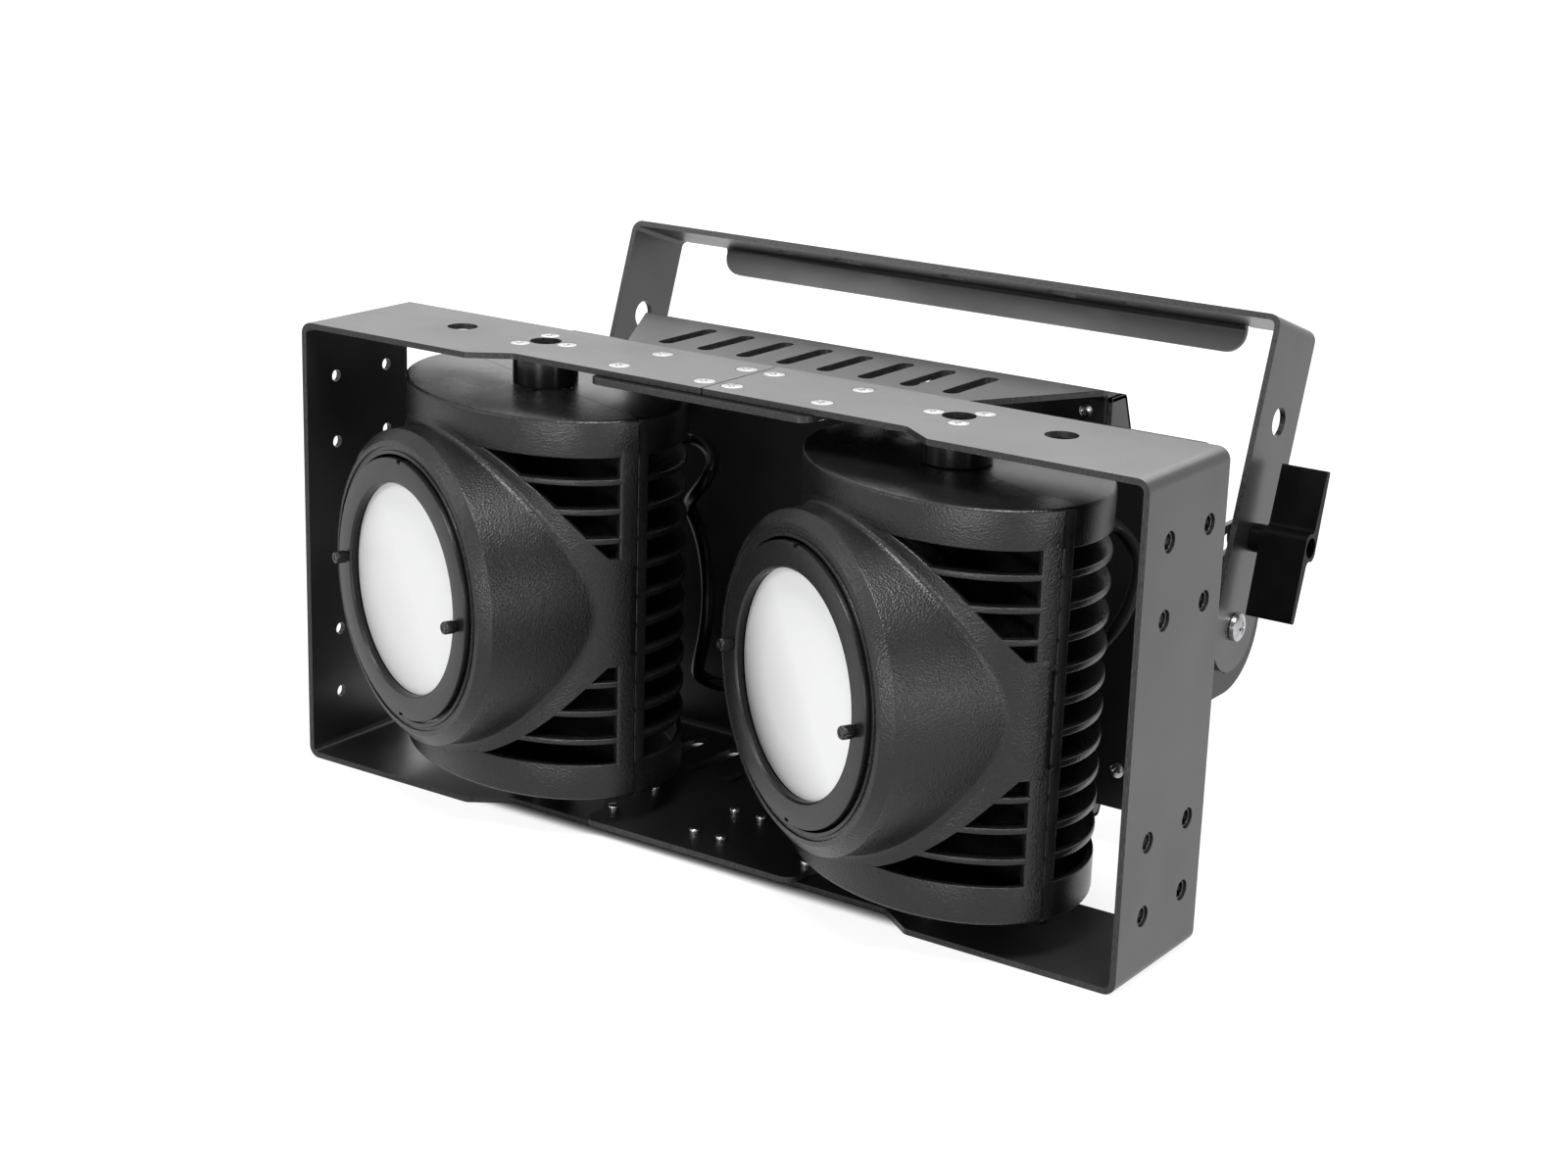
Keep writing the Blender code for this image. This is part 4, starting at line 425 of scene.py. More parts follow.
# %% [markdown]
# ### Cast and turned parts
# The castings wear a wrinkled paint: rounded cells just under a millimetre across whose tops catch
# the light. Rings, thumbscrews and bosses are turned and black, with marks from the tool.

# %% Cast paint, turned aluminium, metals
def cast_paint(name, cell, depth, roughness):
    """Wrinkled paint on a casting; `cell` is in cells per metre."""
    look, tree, place = new_finish(name, roughness, specular=0.34)
    leather = node(tree, "TexVoronoi", {"Vector": place, "Scale": cell, "Smoothness": 0.6}, "Distance",
                   feature="SMOOTH_F1")
    wrinkles = combined(tree, "ADD", leather, noise(tree, place, cell * 1.7))
    coloured(tree, remap(tree, wrinkles, 0.5, 1.3, 0.0, 1.0), (0.002, 0.002, 0.0021),
             (0.009, 0.009, 0.0092))
    glossed(tree, noise(tree, place, 30, 2.0), roughness, 0.04, 0.06)
    bumped(tree, wrinkles, depth)
    return look


def turned_black(name, roughness, metallic):
    """Black metal with tool marks too fine to count."""
    look, tree, place = new_finish(name, roughness, metallic, specular=0.32)
    marks = noise(tree, stretched(tree, place, (900, 900, 2800)), 1.0)
    base = (0.006, 0.006, 0.0062)
    coloured(tree, marks, tuple(0.6 * value for value in base), tuple(1.5 * value for value in base))
    glossed(tree, marks, roughness, 0.05, 0.07)
    bumped(tree, marks, 0.008)
    return look


def bare_metal(name, dark, light, roughness, scale=450):
    """Plated or bare metal, cloudy, with fine scratches along X."""
    look, tree, place = new_finish(name, roughness, 1.0)
    scratch = noise(tree, stretched(tree, place, (120, 3500, 3500)), 1.0, 2.0)
    coloured(tree, noise(tree, place, scale), dark, light)
    glossed(tree, scratch, roughness, 0.08, 0.10)
    bumped(tree, scratch, 0.004)
    return look


cast_shell = cast_paint("cast_shell", 1150, 0.13, 0.25)
cast_sink = cast_paint("cast_sink", 1400, 0.07, 0.28)
ring_black = turned_black("ring_black", 0.30, 0.0)
boss_black = turned_black("boss_black", 0.18, 0.1)
zinc = bare_metal("zinc", (0.22, 0.22, 0.23), (0.56, 0.56, 0.58), 0.26)
black_steel = bare_metal("black_steel", (0.030, 0.030, 0.031), (0.080, 0.080, 0.083), 0.34)
bare_sheet = bare_metal("bare_sheet", (0.55, 0.56, 0.57), (0.80, 0.81, 0.82), 0.34, 90)
mirror = bare_metal("mirror", (0.60, 0.61, 0.63), (0.84, 0.85, 0.86), 0.20, 60)
brass = bare_metal("brass", (0.60, 0.42, 0.16), (0.82, 0.62, 0.28), 0.24)

# %% [markdown]
# ### Lens, display and boards
# The lens is frosted white, with painted shade: it turns grey along one side, where the ring would
# shade it, most near its rim, and each head has its own grey. The display's window is smoked glass,
# and the boards are green solder mask with copper tracks showing as slightly lighter lines.

# %% Lens, glass and boards
def frosted_lens_painted_shade(name, centre, shaded_way, shaded):
    """White, with painted shade down to the grey `shaded` where both count: far from the centre, and far
    along `shaded_way`.
    """
    look, tree, place = new_finish(name, 0.42, specular=0.35)
    local = stretched(tree, place, shift=tuple(-value for value in centre))
    reach = node(tree, "VectorMath", {0: local}, "Value", operation="LENGTH")
    along = node(tree, "VectorMath", {0: local, 1: shaded_way}, "Value", operation="DOT_PRODUCT")
    # Painted shade: grey along `shaded_way`, deepest near the rim
    rim = remap(tree, reach, 0.028, 0.047, 0.0, 0.5)
    side = remap(tree, along, -0.002, 0.044, 0.0, 1.0)
    shade = combined(tree, "MULTIPLY", combined(tree, "ADD", rim, 0.5), side)
    coloured(tree, shade, (0.90, 0.902, 0.905), (shaded, shaded, 1.02 * shaded))
    bumped(tree, noise(tree, place, 2600, 2.0), 0.02)
    return look


def smoked_glass():
    """Dark glossy window with a faint cloud in it."""
    look, tree, place = new_finish("smoked_glass", 0.08, specular=0.6, coat=0.5, coat_roughness=0.03)
    coloured(tree, noise(tree, place, 120, 2.0), (0.006, 0.010, 0.012), (0.018, 0.026, 0.032))
    return look


def solder_mask():
    """Green lacquer over a fine pattern of tracks."""
    look, tree, place = new_finish("solder_mask", 0.35, coat=0.4)
    upright = stretched(tree, place, turn=(pi / 2, 0, 0))
    colours = node(tree, "TexBrick", {"Vector": upright, "Scale": 260, "Mortar Size": 0.05,
                                      "Color1": (0.010, 0.10, 0.035, 1), "Color2": (0.012, 0.12, 0.045, 1),
                                      "Mortar": (0.03, 0.20, 0.08, 1)}, "Color")
    paint(tree, "Base Color", colours)
    bumped(tree, colours.node.outputs["Fac"], 0.03)
    return look


def phosphor():
    """Yellow phosphor, with grains between two yellows."""
    look, tree, place = new_finish("phosphor", 0.5)
    coloured(tree, noise(tree, place, 3000, 2.0), (0.75, 0.56, 0.08), (0.92, 0.80, 0.25))
    return look


display_glass = smoked_glass()
board_green = solder_mask()
led_yellow = phosphor()
print("finishes:", len(bpy.data.materials))

# %% [markdown]
# ## Lamp heads
# Each head is two castings that meet at the pan axis: a front shell with louvres and a round snout,
# and a heat sink with fins. Both follow one oval, 152 mm wide and 111 mm deep. The front shell could
# be cut with Booleans as in the CAD, but then its corners stay sharp. Here its outer skin is one
# sheet in polar coordinates about the lens: every direction has a section that runs from the bezel
# down the snout, through a fillet onto the oval, and out to the edge of the louvres.

# %% Sizes of a head
SIDE_RADIUS, FORE_RADIUS = 76.0, 55.5
HALF_HEIGHT = 83.5
SKIRT = 67.5
FIN_PITCH, FIN_COUNT, FIN_HALF = 12.67, 10, 1.5
RIBS = (31.675, 44.345, 57.015)
RIB_HALF = 1.25
LOUVRE_LOW, LOUVRE_HIGH = 23.9, 67.6
LOUVRE_ARC, LOUVRE_SHIFT = 73.7, 4.5
LOUVRE_TOP = 76.8                 # how far the skin reaches straight up
SEAM = 0.15
SLAB_DEPTH = 30.0                 # how far a cap or fin goes in before it turns flat
GLAND_HEIGHT = 50.7
PAN = {"left": 20.2, "right": 26.7}
PAN_AXIS = 41.0
HALF_PITCH = 104.5


def head_place(side_name, side):
    """Turns a piece of a head about its pan axis and puts it on that axis."""
    return at(side * HALF_PITCH, PAN_AXIS, 0) @ Matrix.Rotation(-radians(PAN[side_name]), 4, "Z")


def drum_depth(x):
    """How far the oval reaches in front of the axis at x: the ellipse's other half-axis times its sine."""
    return FORE_RADIUS * np.sqrt(np.clip(1 - (x / SIDE_RADIUS) ** 2, 0, 1))


def drum_skin(across, height, out):
    """Point on the oval above (across, height) in front view, moved outwards along its normal."""
    depth = drum_depth(across)
    normal = np.stack((across / SIDE_RADIUS ** 2, depth / FORE_RADIUS ** 2), axis=-1)
    normal /= np.linalg.norm(normal, axis=-1)[..., None]
    return np.stack((across + normal[..., 0] * out, -np.maximum(depth + normal[..., 1] * out, SEAM),
                     np.broadcast_to(height, across.shape)), axis=-1)


# %% [markdown]
# ### Front shell's skin
# For a direction a about the lens, the snout's side is r = 72.3 - 0.0627 (f - 12), f being the depth in
# front of the axis. It meets the oval where both agree, found by a few rounds of substitution. A
# fillet, a quadratic curve whose middle control point is that corner, joins the two. Outside it
# the skin follows the oval to the louvres' edge, an arc about a shifted middle, and there it turns
# over a small radius to the wall's inner side.

# %% Front shell's skin
FILLET = 2.4
WALL = 3.2
PROUD = 0.04                      # the skin lies this much outside the oval
BURIED = 0.3                      # and this much deeper where it runs under the cap
EDGE_ROUND = 0.55
SNOUT_FOOT, SNOUT_LENGTH = 12, 52.6
SNOUT_WIDE, SNOUT_NARROW = 72.3, 69.0
BEZEL_BACK = 60.5
BEZEL = ((58.5, 61.0, 0), (58.5, 69.9, 0.25), (60.1, 69.9, 0.15), (60.3, 69.1, 0.1), (61.7, 69.1, 0.1),
         (61.9, 69.85, 0.25), (64.2, 69.4, 0.7), (69.1, 65.5, 0.8), (69.25, BEZEL_BACK, 0))
INNER_WALL = ((67.5, 57.6), (65.6, 59.4), (58.6, 59.4))


def arc_reach(height):
    """How far across the louvres' edge arc lies at a height."""
    return LOUVRE_SHIFT + sqrt(LOUVRE_ARC ** 2 - height ** 2)


SILL_END = atan2(LOUVRE_LOW, arc_reach(LOUVRE_LOW))
ARC_END = atan2(LOUVRE_HIGH, arc_reach(LOUVRE_HIGH))


def louvre_edge(turn):
    """How far the skin reaches from the lens axis, for a direction folded into the first quarter."""
    post_edge = (SIDE_RADIUS - 0.0003) / np.cos(np.minimum(turn, 1.0))
    sill = LOUVRE_LOW / np.sin(np.maximum(turn, 0.1))
    arc = LOUVRE_SHIFT * np.cos(turn) + np.sqrt(LOUVRE_ARC ** 2 - (LOUVRE_SHIFT * np.sin(turn)) ** 2)
    last = LOUVRE_HIGH / sin(ARC_END)
    top = last + (LOUVRE_TOP - last) * (turn - ARC_END) / (pi / 2 - ARC_END)
    return np.where(turn < SILL_END, np.minimum(post_edge, np.where(turn > 0.1, sill, post_edge)),
                    np.where(turn < ARC_END, arc, top))


def skin_turns():
    """Directions all round, closest where the edge has its corners."""
    post_end = atan2(LOUVRE_LOW, SIDE_RADIUS)
    quarter = np.concatenate((
        np.linspace(0, post_end, 12, endpoint=False), np.linspace(post_end, SILL_END, 4, endpoint=False),
        np.linspace(SILL_END, ARC_END, 32, endpoint=False), np.linspace(ARC_END, pi / 2, 16)))
    half = np.concatenate((quarter, pi - quarter[-2::-1]))
    return np.concatenate((half, pi + half[1:-1]))


def snout_radius(depth):
    """Radius of the snout's cone at a depth in front of the axis."""
    return SNOUT_WIDE - (depth - SNOUT_FOOT) * (SNOUT_WIDE - SNOUT_NARROW) / SNOUT_LENGTH


def front_skin():
    """Bezel, snout, fillet, collar and inner wall as one closed sheet, wrapped both ways."""
    turn = skin_turns()
    folded = np.arctan2(np.abs(np.sin(turn)), np.abs(np.cos(turn)))
    across, up = np.cos(turn), np.sin(turn)
    edge = louvre_edge(folded)
    root = np.full_like(turn, 72.0)
    for _ in range(6):
        root = snout_radius(drum_depth(root * across))
    depth = drum_depth(root * across)

    def ahead(radius, reach):
        """Points at a radius about the lens and a depth in front of the axis."""
        return np.stack(np.broadcast_arrays(radius * across, -reach, radius * up), axis=-1)

    def slope(radius):
        """How much longer a step along the oval is than the same step straight across."""
        x = radius * across
        fall = FORE_RADIUS ** 2 * x / SIDE_RADIUS ** 2 / np.maximum(drum_depth(x), 1.5)
        return np.hypot(1, fall * across)

    columns = [ahead(r, f) for r, f in rounded(BEZEL, 5)]
    start = depth + FILLET
    for share in np.linspace(0, 1, 12)[1:]:
        f = BEZEL_BACK + (start - BEZEL_BACK) * share
        columns.append(ahead(snout_radius(f), f))
    above, corner = columns[-1], ahead(root, depth)
    outer = root + FILLET / slope(root)
    beside = drum_skin(outer * across, outer * up, PROUD)
    for share in np.linspace(0, 1, 9)[1:]:
        columns.append((1 - share) ** 2 * above + 2 * share * (1 - share) * corner + share ** 2 * beside)
    worn = EDGE_ROUND / slope(edge - 0.3)
    under_cap = np.clip((folded - ARC_END) / 0.05, 0, 1)
    for share in np.linspace(0, 1, 10)[1:]:
        radius = edge - worn - (edge - worn - outer) * (1 - share) ** 2
        columns.append(drum_skin(radius * across, radius * up, PROUD - BURIED * under_cap * share))
    for step, out in ((0.55, -0.10), (0.15, -0.32), (0.0, -0.75), (0.0, -WALL)):
        radius = edge - worn * step
        columns.append(drum_skin(radius * across, radius * up, out - BURIED * under_cap))
    columns.append(drum_skin((root - 2.5) * across, (root - 2.5) * up, -WALL))
    columns += [ahead(radius, f) for radius, f in INNER_WALL]
    return solid(np.stack(columns, axis=1), wrap_rows=True, wrap_columns=True)


skin = front_skin()
print("front skin:", len(skin.vertices), "points")

# %% [markdown]
# ### Caps, ribs, posts and fins
# All of these are a section carried round half of the oval. For an angle t the oval is
# (76 - i) cos t, (55.5 - i) sin t, where i is how far a point of the section lies inside it. Lids and
# fins also have a column on the middle of the straight side, which closes them.

# %% Oval pieces
def oval(turn, inset, height, front):
    """Points round half the oval, in front of the seam or behind it."""
    turn, inset, height = np.broadcast_arrays(turn[:, None], inset, height)
    depth = SEAM + (FORE_RADIUS - SEAM - inset) * np.sin(turn)
    return np.stack(((SIDE_RADIUS - inset) * np.cos(turn), -depth if front else depth, height), axis=-1)


def oval_slab(section, front, steps=56):
    """Slab whose rim has this section of (inset, height); both its ends run to the middle of the seam."""
    turn = np.linspace(0, pi, steps + 1)
    rim = oval(turn, section[:, 0], section[:, 1], front)
    middle = np.zeros((steps + 1, 1, 3))
    middle[..., 1] = -SEAM if front else SEAM
    first, last = middle.copy(), middle.copy()
    first[..., 2], last[..., 2] = section[0, 1], section[-1, 1]
    return solid(np.concatenate((first, rim, last), axis=1), wrap_columns=True, caps=True)


def cap(front):
    """Lid with a skirt: rounded rim at the top, thin wall below it."""
    return oval_slab(rounded([(SLAB_DEPTH, HALF_HEIGHT, 0), (0, HALF_HEIGHT, 1.6), (0, SKIRT, 0.5),
                              (3.0, SKIRT, 0.5), (3.0, 79.5, 0.8), (SLAB_DEPTH, 79.5, 0)]), front)


def fin(height):
    """Cooling fin with rounded edge."""
    top, bottom = height + FIN_HALF, height - FIN_HALF
    section = rounded([(SLAB_DEPTH, top, 0), (0, top, 0.8), (0, bottom, 0.8), (SLAB_DEPTH, bottom, 0)], 3)
    return oval_slab(section, False, 40)


def rib(height):
    """Louvre blade from the post to the collar, on the right side."""
    turn = np.linspace(asin(5.0 / FORE_RADIUS), acos((arc_reach(height) - 2.5) / SIDE_RADIUS), 16)
    section = box_outline(0.05, -RIB_HALF, 6.5, RIB_HALF, 0.45, 3)
    return solid(oval(turn, section[:, 0], height + section[:, 1], True), wrap_columns=True, caps=True)


def post():
    """Upright bar beside the seam, on the right side: the oval's last 8 mm, 3 mm thick."""
    turn = np.linspace(0.004, asin(7.4 / FORE_RADIUS), 8)
    outer = oval(turn, np.array([0.0]), np.array([0.0]), True)[:, 0, :2]
    nose = outer[-1] + np.array([(-0.25, -0.35), (-0.7, -0.5), (-3.0, -0.5)])
    return prism(np.concatenate((outer, nose, [(SIDE_RADIUS - 3.4, -SEAM)])), 20.0, 70.0)


MIRROR = Matrix.Scale(-1, 4, (1, 0, 0))
FLIP = Matrix.Scale(-1, 4, (0, 0, 1))
QUARTERS = (EYE, MIRROR, FLIP, MIRROR @ FLIP)
GLAND_PLACE = at(0, 0, GLAND_HEIGHT) @ TO_REAR

front_cap, rear_cap = cap(True), cap(False)
shell_parts = [(skin, EYE), (front_cap, EYE), (front_cap, FLIP)]
shell_parts += [(post(), quarter) for quarter in QUARTERS]
for rib_height in RIBS:
    blade = rib(rib_height)
    shell_parts += [(blade, quarter) for quarter in QUARTERS]

base_plate = prism(box_outline(-75.95, SEAM, 75.95, 5.0, 0.3), -HALF_HEIGHT + 0.6, HALF_HEIGHT - 0.6)
gland_seat = turned([(0, 2, 0), (8.0, 2, 0), (8.0, 56.8, 0.8), (0, 56.8, 0)], 32)
sink_parts = [(base_plate, EYE), (rear_cap, EYE), (rear_cap, FLIP), (gland_seat, GLAND_PLACE)]
sink_parts += [(fin((index - (FIN_COUNT - 1) / 2) * FIN_PITCH), EYE) for index in range(FIN_COUNT)]
print("shell parts:", len(shell_parts), "sink parts:", len(sink_parts))

# %% [markdown]
# ### Ring, lens and thumbscrews
# The retaining ring is turned, so it is a profile carried round the lens axis; its two notches are
# a step in the outer radius. The lens is a frosted disc with a soft edge. The thumbscrews are
# knurled: their radius swings with the angle, r = 2.49 + 0.26 |sin 12 a|.

# %% Ring, lens, thumbscrews
RING_INNER, RING_OUTER = 46.4, 57.3
NOTCH_HALF, NOTCH_DEPTH = 1.5, 1.5
KNURLS, KNURL_DEPTH = 12, 0.26
THUMB_TURN, THUMB_CIRCLE = radians(3.0), 49.6
THUMB_X, THUMB_Z = THUMB_CIRCLE * cos(THUMB_TURN), THUMB_CIRCLE * sin(THUMB_TURN)
LENS_FACE = 68.0
# Painted shade on the lenses: the way it grows across a lens, and how grey it gets on each head
SHADED_WAY = Vector((-0.80, 0, -0.60))
LENS_SHADE = {"left": 0.52, "right": 0.17}


def facing_front(points):
    """The same points with what was up turned to the front."""
    return points[..., [0, 2, 1]] * (1, -1, 1)


def retaining_ring():
    """Flat ring with rounded rims; the outer radius steps in at the top and the bottom."""
    half = asin(NOTCH_HALF / RING_OUTER)
    step = 0.0008
    key = [end + offset for end in (pi / 2 - half, pi / 2 + half, 3 * pi / 2 - half, 3 * pi / 2 + half)
           for offset in (-step, step)]
    turn = np.unique(np.concatenate((np.linspace(0, 2 * pi, 144, endpoint=False), key)))[:, None]
    notched = (np.abs(np.abs(np.sin(turn)) - 1) < 1 - cos(half)).astype(float)
    section = rounded([(RING_INNER, 68.6, 0.2), (RING_OUTER, 68.6, 0.2), (RING_OUTER, 72.0, 0.35),
                       (47.3, 72.0, 0.25), (RING_INNER, 71.2, 0.25)])
    share = np.clip((section[:, 0] - 55.0) / 2.0, 0, 1)
    radius = section[None, :, 0] - NOTCH_DEPTH * share[None] * notched
    return solid(facing_front(about_z(turn, radius, section[:, 1])), wrap_rows=True, wrap_columns=True)


def thumbscrew():
    """Knurled head with a chamfered end and a plain collar, on a thin shank."""
    radius, height = rounded([
        (0, 61.0, 0), (1.4, 61.0, 0), (1.4, 72.3, 0), (2.45, 72.3, 0.1), (2.45, 73.0, 0), (2.75, 73.2, 0),
        (2.75, 77.3, 0), (2.35, 78.0, 0.2), (1.3, 78.0, 0.1), (1.1, 77.6, 0.1), (0, 77.6, 0)], 2).T
    turn = full_turn(8 * KNURLS)
    knurled = (radius > 2.5) & (height > 73.1)
    wave = KNURL_DEPTH * (1 - np.abs(np.sin(KNURLS * turn)))
    return solid(facing_front(about_z(turn, radius - wave * knurled, height)), wrap_rows=True)


ring, screw = retaining_ring(), thumbscrew()
lens_disc = turned([(0, 65.4, 0), (46.9, 65.4, 0.4), (46.9, 67.9, 0.5), (44.0, LENS_FACE, 0),
                    (0, 68.2, 0)], 96)
gland = turned([(0, 57.1, 0), (7.0, 57.1, 0.3), (7.0, 61.5, 0.4), (6.1, 61.7, 0.2), (6.1, 62.9, 0.2),
                (6.8, 63.1, 0.5), (4.9, 66.6, 1.2), (0, 66.6, 0)], 48)

for name, side, _ in SIDES:
    here = head_place(name, side)
    shaded_way = (here.to_3x3() @ SHADED_WAY).normalized()
    painted_shade_lens_finish = frosted_lens_painted_shade(f"{name}_frost", TO_FRAME @ (here @ Vector((0, -LENS_FACE, 0))), shaded_way,
                         LENS_SHADE[name])
    for look, shapes, finish, slot, stands_for, sharp in (
            ("front_casting", shell_parts, cast_shell, "cast_shell", "front_shell", 42),
            ("finned_sink", sink_parts, cast_sink, "cast_sink", "heat_sink", 42),
            ("lens_ring", [(ring, EYE)], ring_black, "turned_black", "retaining_ring", 35),
            ("frosted_lens_painted_shade", [(lens_disc, TO_FRONT)], painted_shade_lens_finish, "lens", "lens", 35),
            ("gland", [(gland, GLAND_PLACE)], plastic_black, "connector_black", "lead_gland", 35)):
        piece(f"{name}_{look}", placed(shapes, here), finish, f"{name}_head",
              [f"{name}_{stands_for}"], sharp=sharp)
    for edge, x, z in (("left", -THUMB_X, THUMB_Z), ("right", THUMB_X, -THUMB_Z)):
        piece(f"{name}_thumbscrew_{edge}", [(screw, here @ at(x, 0, z))], boss_black,
              f"{name}_lens_thumbscrew_{edge}", [f"{name}_lens_thumbscrew_{edge}"])
print("head pieces:", len(made))

# %% [markdown]
# ## Folded sheets
# Frame, chassis, yoke and cover are cut flat and folded. They are made in the same order here: the
# flat outline with its holes is filled and given its thickness, faces on the cut edges get the
# cut-edge finish, and each fold bends the flap past a line. A fold turns a point at distance u past
# the line by u over the middle radius, so lengths along the middle of the sheet stay true. A
# height field can't carry holes and flaps like these, so bmesh does it, and a small bevel
# afterwards rounds every cut edge, as the coat does.

# %% Flat sheets and folds
SHEET, BEND = 2.6, 5.3
FOLD_RADIUS = BEND - SHEET / 2                    # to the middle of the sheet
FOLD_LENGTH = FOLD_RADIUS * pi / 2
FOLD_STEPS = 8
EDGE_WEAR = 0.32


def flat_sheet(outline, holes=(), sinks=(), thickness=SHEET):
    """Flat sheet about height 0. A sink is (centre, upper radius, lower radius)."""
    bm = bmesh.new()
    sunk = [ring_of(upper, 32, centre) for centre, upper, _ in sinks]
    rims = filled(bm, [outline, *holes, *sunk], -thickness / 2, thickness)
    for face in bm.faces:
        face.normal_update()
        face.material_index = int(abs(face.normal.z) < 0.5)
    for (centre, upper, lower), rim in zip(sinks, rims[len(rims) - len(sunk):]):
        for vert in rim:
            vert.co.x = centre[0] + (vert.co.x - centre[0]) * lower / upper
            vert.co.y = centre[1] + (vert.co.y - centre[1]) * lower / upper
    return bm


def fold(bm, along, start, upward, low=-1e6, high=1e6):
    """Bends the flap past `start` in a direction by a right angle, between two relief notches."""
    direction = Vector((*along, 0))
    side = 1 if upward else -1
    for step in range(FOLD_STEPS + 1):
        bmesh.ops.bisect_plane(bm, geom=bm.verts[:] + bm.edges[:] + bm.faces[:], dist=1e-4,
                               plane_co=direction * (start + FOLD_LENGTH * step / FOLD_STEPS),
                               plane_no=direction)
    for vert in bm.verts:
        u = vert.co.dot(direction)
        across = vert.co.y if along[0] else vert.co.x
        if u <= start or not low < across < high:
            continue
        turn = min((u - start) / FOLD_RADIUS, pi / 2)
        extra = max(u - start - FOLD_LENGTH, 0)
        arm = FOLD_RADIUS - side * vert.co.z
        vert.co += direction * (start + arm * sin(turn) + extra * cos(turn) - u)
        vert.co.z = side * (FOLD_RADIUS - arm * cos(turn) + extra * sin(turn))


def mirrored(points):
    """The same outline on the other side of x = 0."""
    return [(-x, y) for x, y in reversed(list(points))]


# %% [markdown]
# ### Frame
# Two halves meet at a seam in the middle of the top and the bottom. Their front edges are set back
# over the lamps. Countersunk screws hold them to the chassis and hold the pan bosses, and the right
# side plate has press nuts in its holes where the left one has plain holes.

# %% Frame halves
FRAME_HALF_WIDTH, FRAME_HALF_HEIGHT, FRAME_DEPTH = 210.0, 102.0, 66
RECESS = 12                                       # front edge set back over the lamps
SIDE_HEIGHTS, SIDE_DEPTHS = (74.8, 44.4), (19, 52)
SIDE_HOLES = {"left": 2.75, "right": 4.3}
SPLICES = [(x, y) for x in (7, 51) for y in (24, 54)]
BEARING_SCREWS = [(11.8 * cos(turn), 11.8 * sin(turn)) for turn in (0, 2 * pi / 3, 4 * pi / 3)]


def frame_half(side_hole):
    """Side plate whose two ends fold in and run to the seam."""
    base = FRAME_HALF_HEIGHT - BEND

    def along(x):
        return base + FOLD_LENGTH + FRAME_HALF_WIDTH - BEND - x

    seam, inner, outer = along(0.3), along(98.5), along(115.0)
    outline = rounded([
        (-seam, RECESS, 0.8), (-inner, RECESS, 4.5), (-outer, 0, 4.5), (outer, 0, 4.5),
        (inner, RECESS, 4.5), (seam, RECESS, 0.8), (seam, FRAME_DEPTH, 0.8), (-seam, FRAME_DEPTH, 0.8)], 5)
    holes = [ring_of(side_hole, 24, (sign * height, depth))
             for sign in BOTH for height in SIDE_HEIGHTS for depth in SIDE_DEPTHS]
    sinks = []
    for sign in BOTH:
        pan = (sign * along(HALF_PITCH), PAN_AXIS)
        holes += [ring_of(6.9, 40, pan), ring_of(6.75, 40, (sign * along(151), 40))]
        sinks += [((pan[0] + sign * dx, pan[1] + dy), 4.55, 2.1) for dx, dy in BEARING_SCREWS]
        sinks += [((sign * along(x), y), 4.85, 2.7) for x, y in SPLICES]
    bm = flat_sheet(outline, holes, sinks)
    for direction in BOTH:
        fold(bm, (-direction, 0), base, False)
    return outward(bm)


reach = FRAME_HALF_WIDTH - SHEET / 2
for name, side, _ in SIDES:
    stood_up = axes((0, 0, side, side * reach), (0, 1, 0, 0), (-side, 0, 0, 0))
    piece(f"{name}_frame_sheet", [(frame_half(SIDE_HOLES[name]), stood_up)], frame_coat, "housing",
          [f"frame_half_{name}"], edge_coat, EDGE_WEAR)

# %% [markdown]
# ### Rear chassis
# One cross-shaped sheet: the back plate in the middle, the slotted roof and floor folded forward,
# and the two ears folded back. Each ear holds the yoke's pivot and an arc slot for its clamp. The
# photograph shows only the right ear, and the left one is its mirror image.

# %% Chassis
REAR_FACE = 137.2
FRONT_FACE = REAR_FACE - SHEET
PIVOT_Y, PIVOT_Z = 167.0, -2.0
EAR_X = 168.4
EAR_RADIUS, EAR_WALL = 30.8, 2.8
CLAMP = 39.0
ARC_SLOT = 4.5
ROOF = 99.1
TONGUE, TONGUE_FRONT, FLARE_START, FLARE = 55, 7, 21, 0.581
WING_HALF = 83.6
RELIEF = 1.2                                      # notch beside a fold
SLOT_COUNT, SLOT_PITCH, SLOT_HALF = 8, 20.9, 3.6
SLOT_FRONT, SLOT_REAR = 83, 121.8
COVER_SCREWS = [(x, sign * 88.8) for x in (-47, 32, 111) for sign in BOTH]
PANEL_SCREWS = [(mirror * 137, sign * 66) for mirror in BOTH for sign in BOTH]
GROMMETS = {"left": (-38.5, -64.0), "right": (104.0, -30.0)}
SAFETY_EYE = (-105, 60)


def slot_outline(x, front, rear):
    """Round-ended slot between two heights of the flat pattern."""
    low, high = min(front, rear) + SLOT_HALF, max(front, rear) - SLOT_HALF
    turn = np.linspace(0, pi, 10)
    across, up = SLOT_HALF * np.cos(turn), SLOT_HALF * np.sin(turn)
    upper, lower = np.stack((x + across, high + up), axis=1), np.stack((x - across, low - up), axis=1)
    return np.concatenate((upper, lower))


def arc_points(centre, radius, start, end, steps):
    """Points on an arc, with both ends."""
    turn = np.linspace(start, end, steps + 1)
    return list(zip(centre[0] + radius * np.cos(turn), centre[1] + radius * np.sin(turn)))


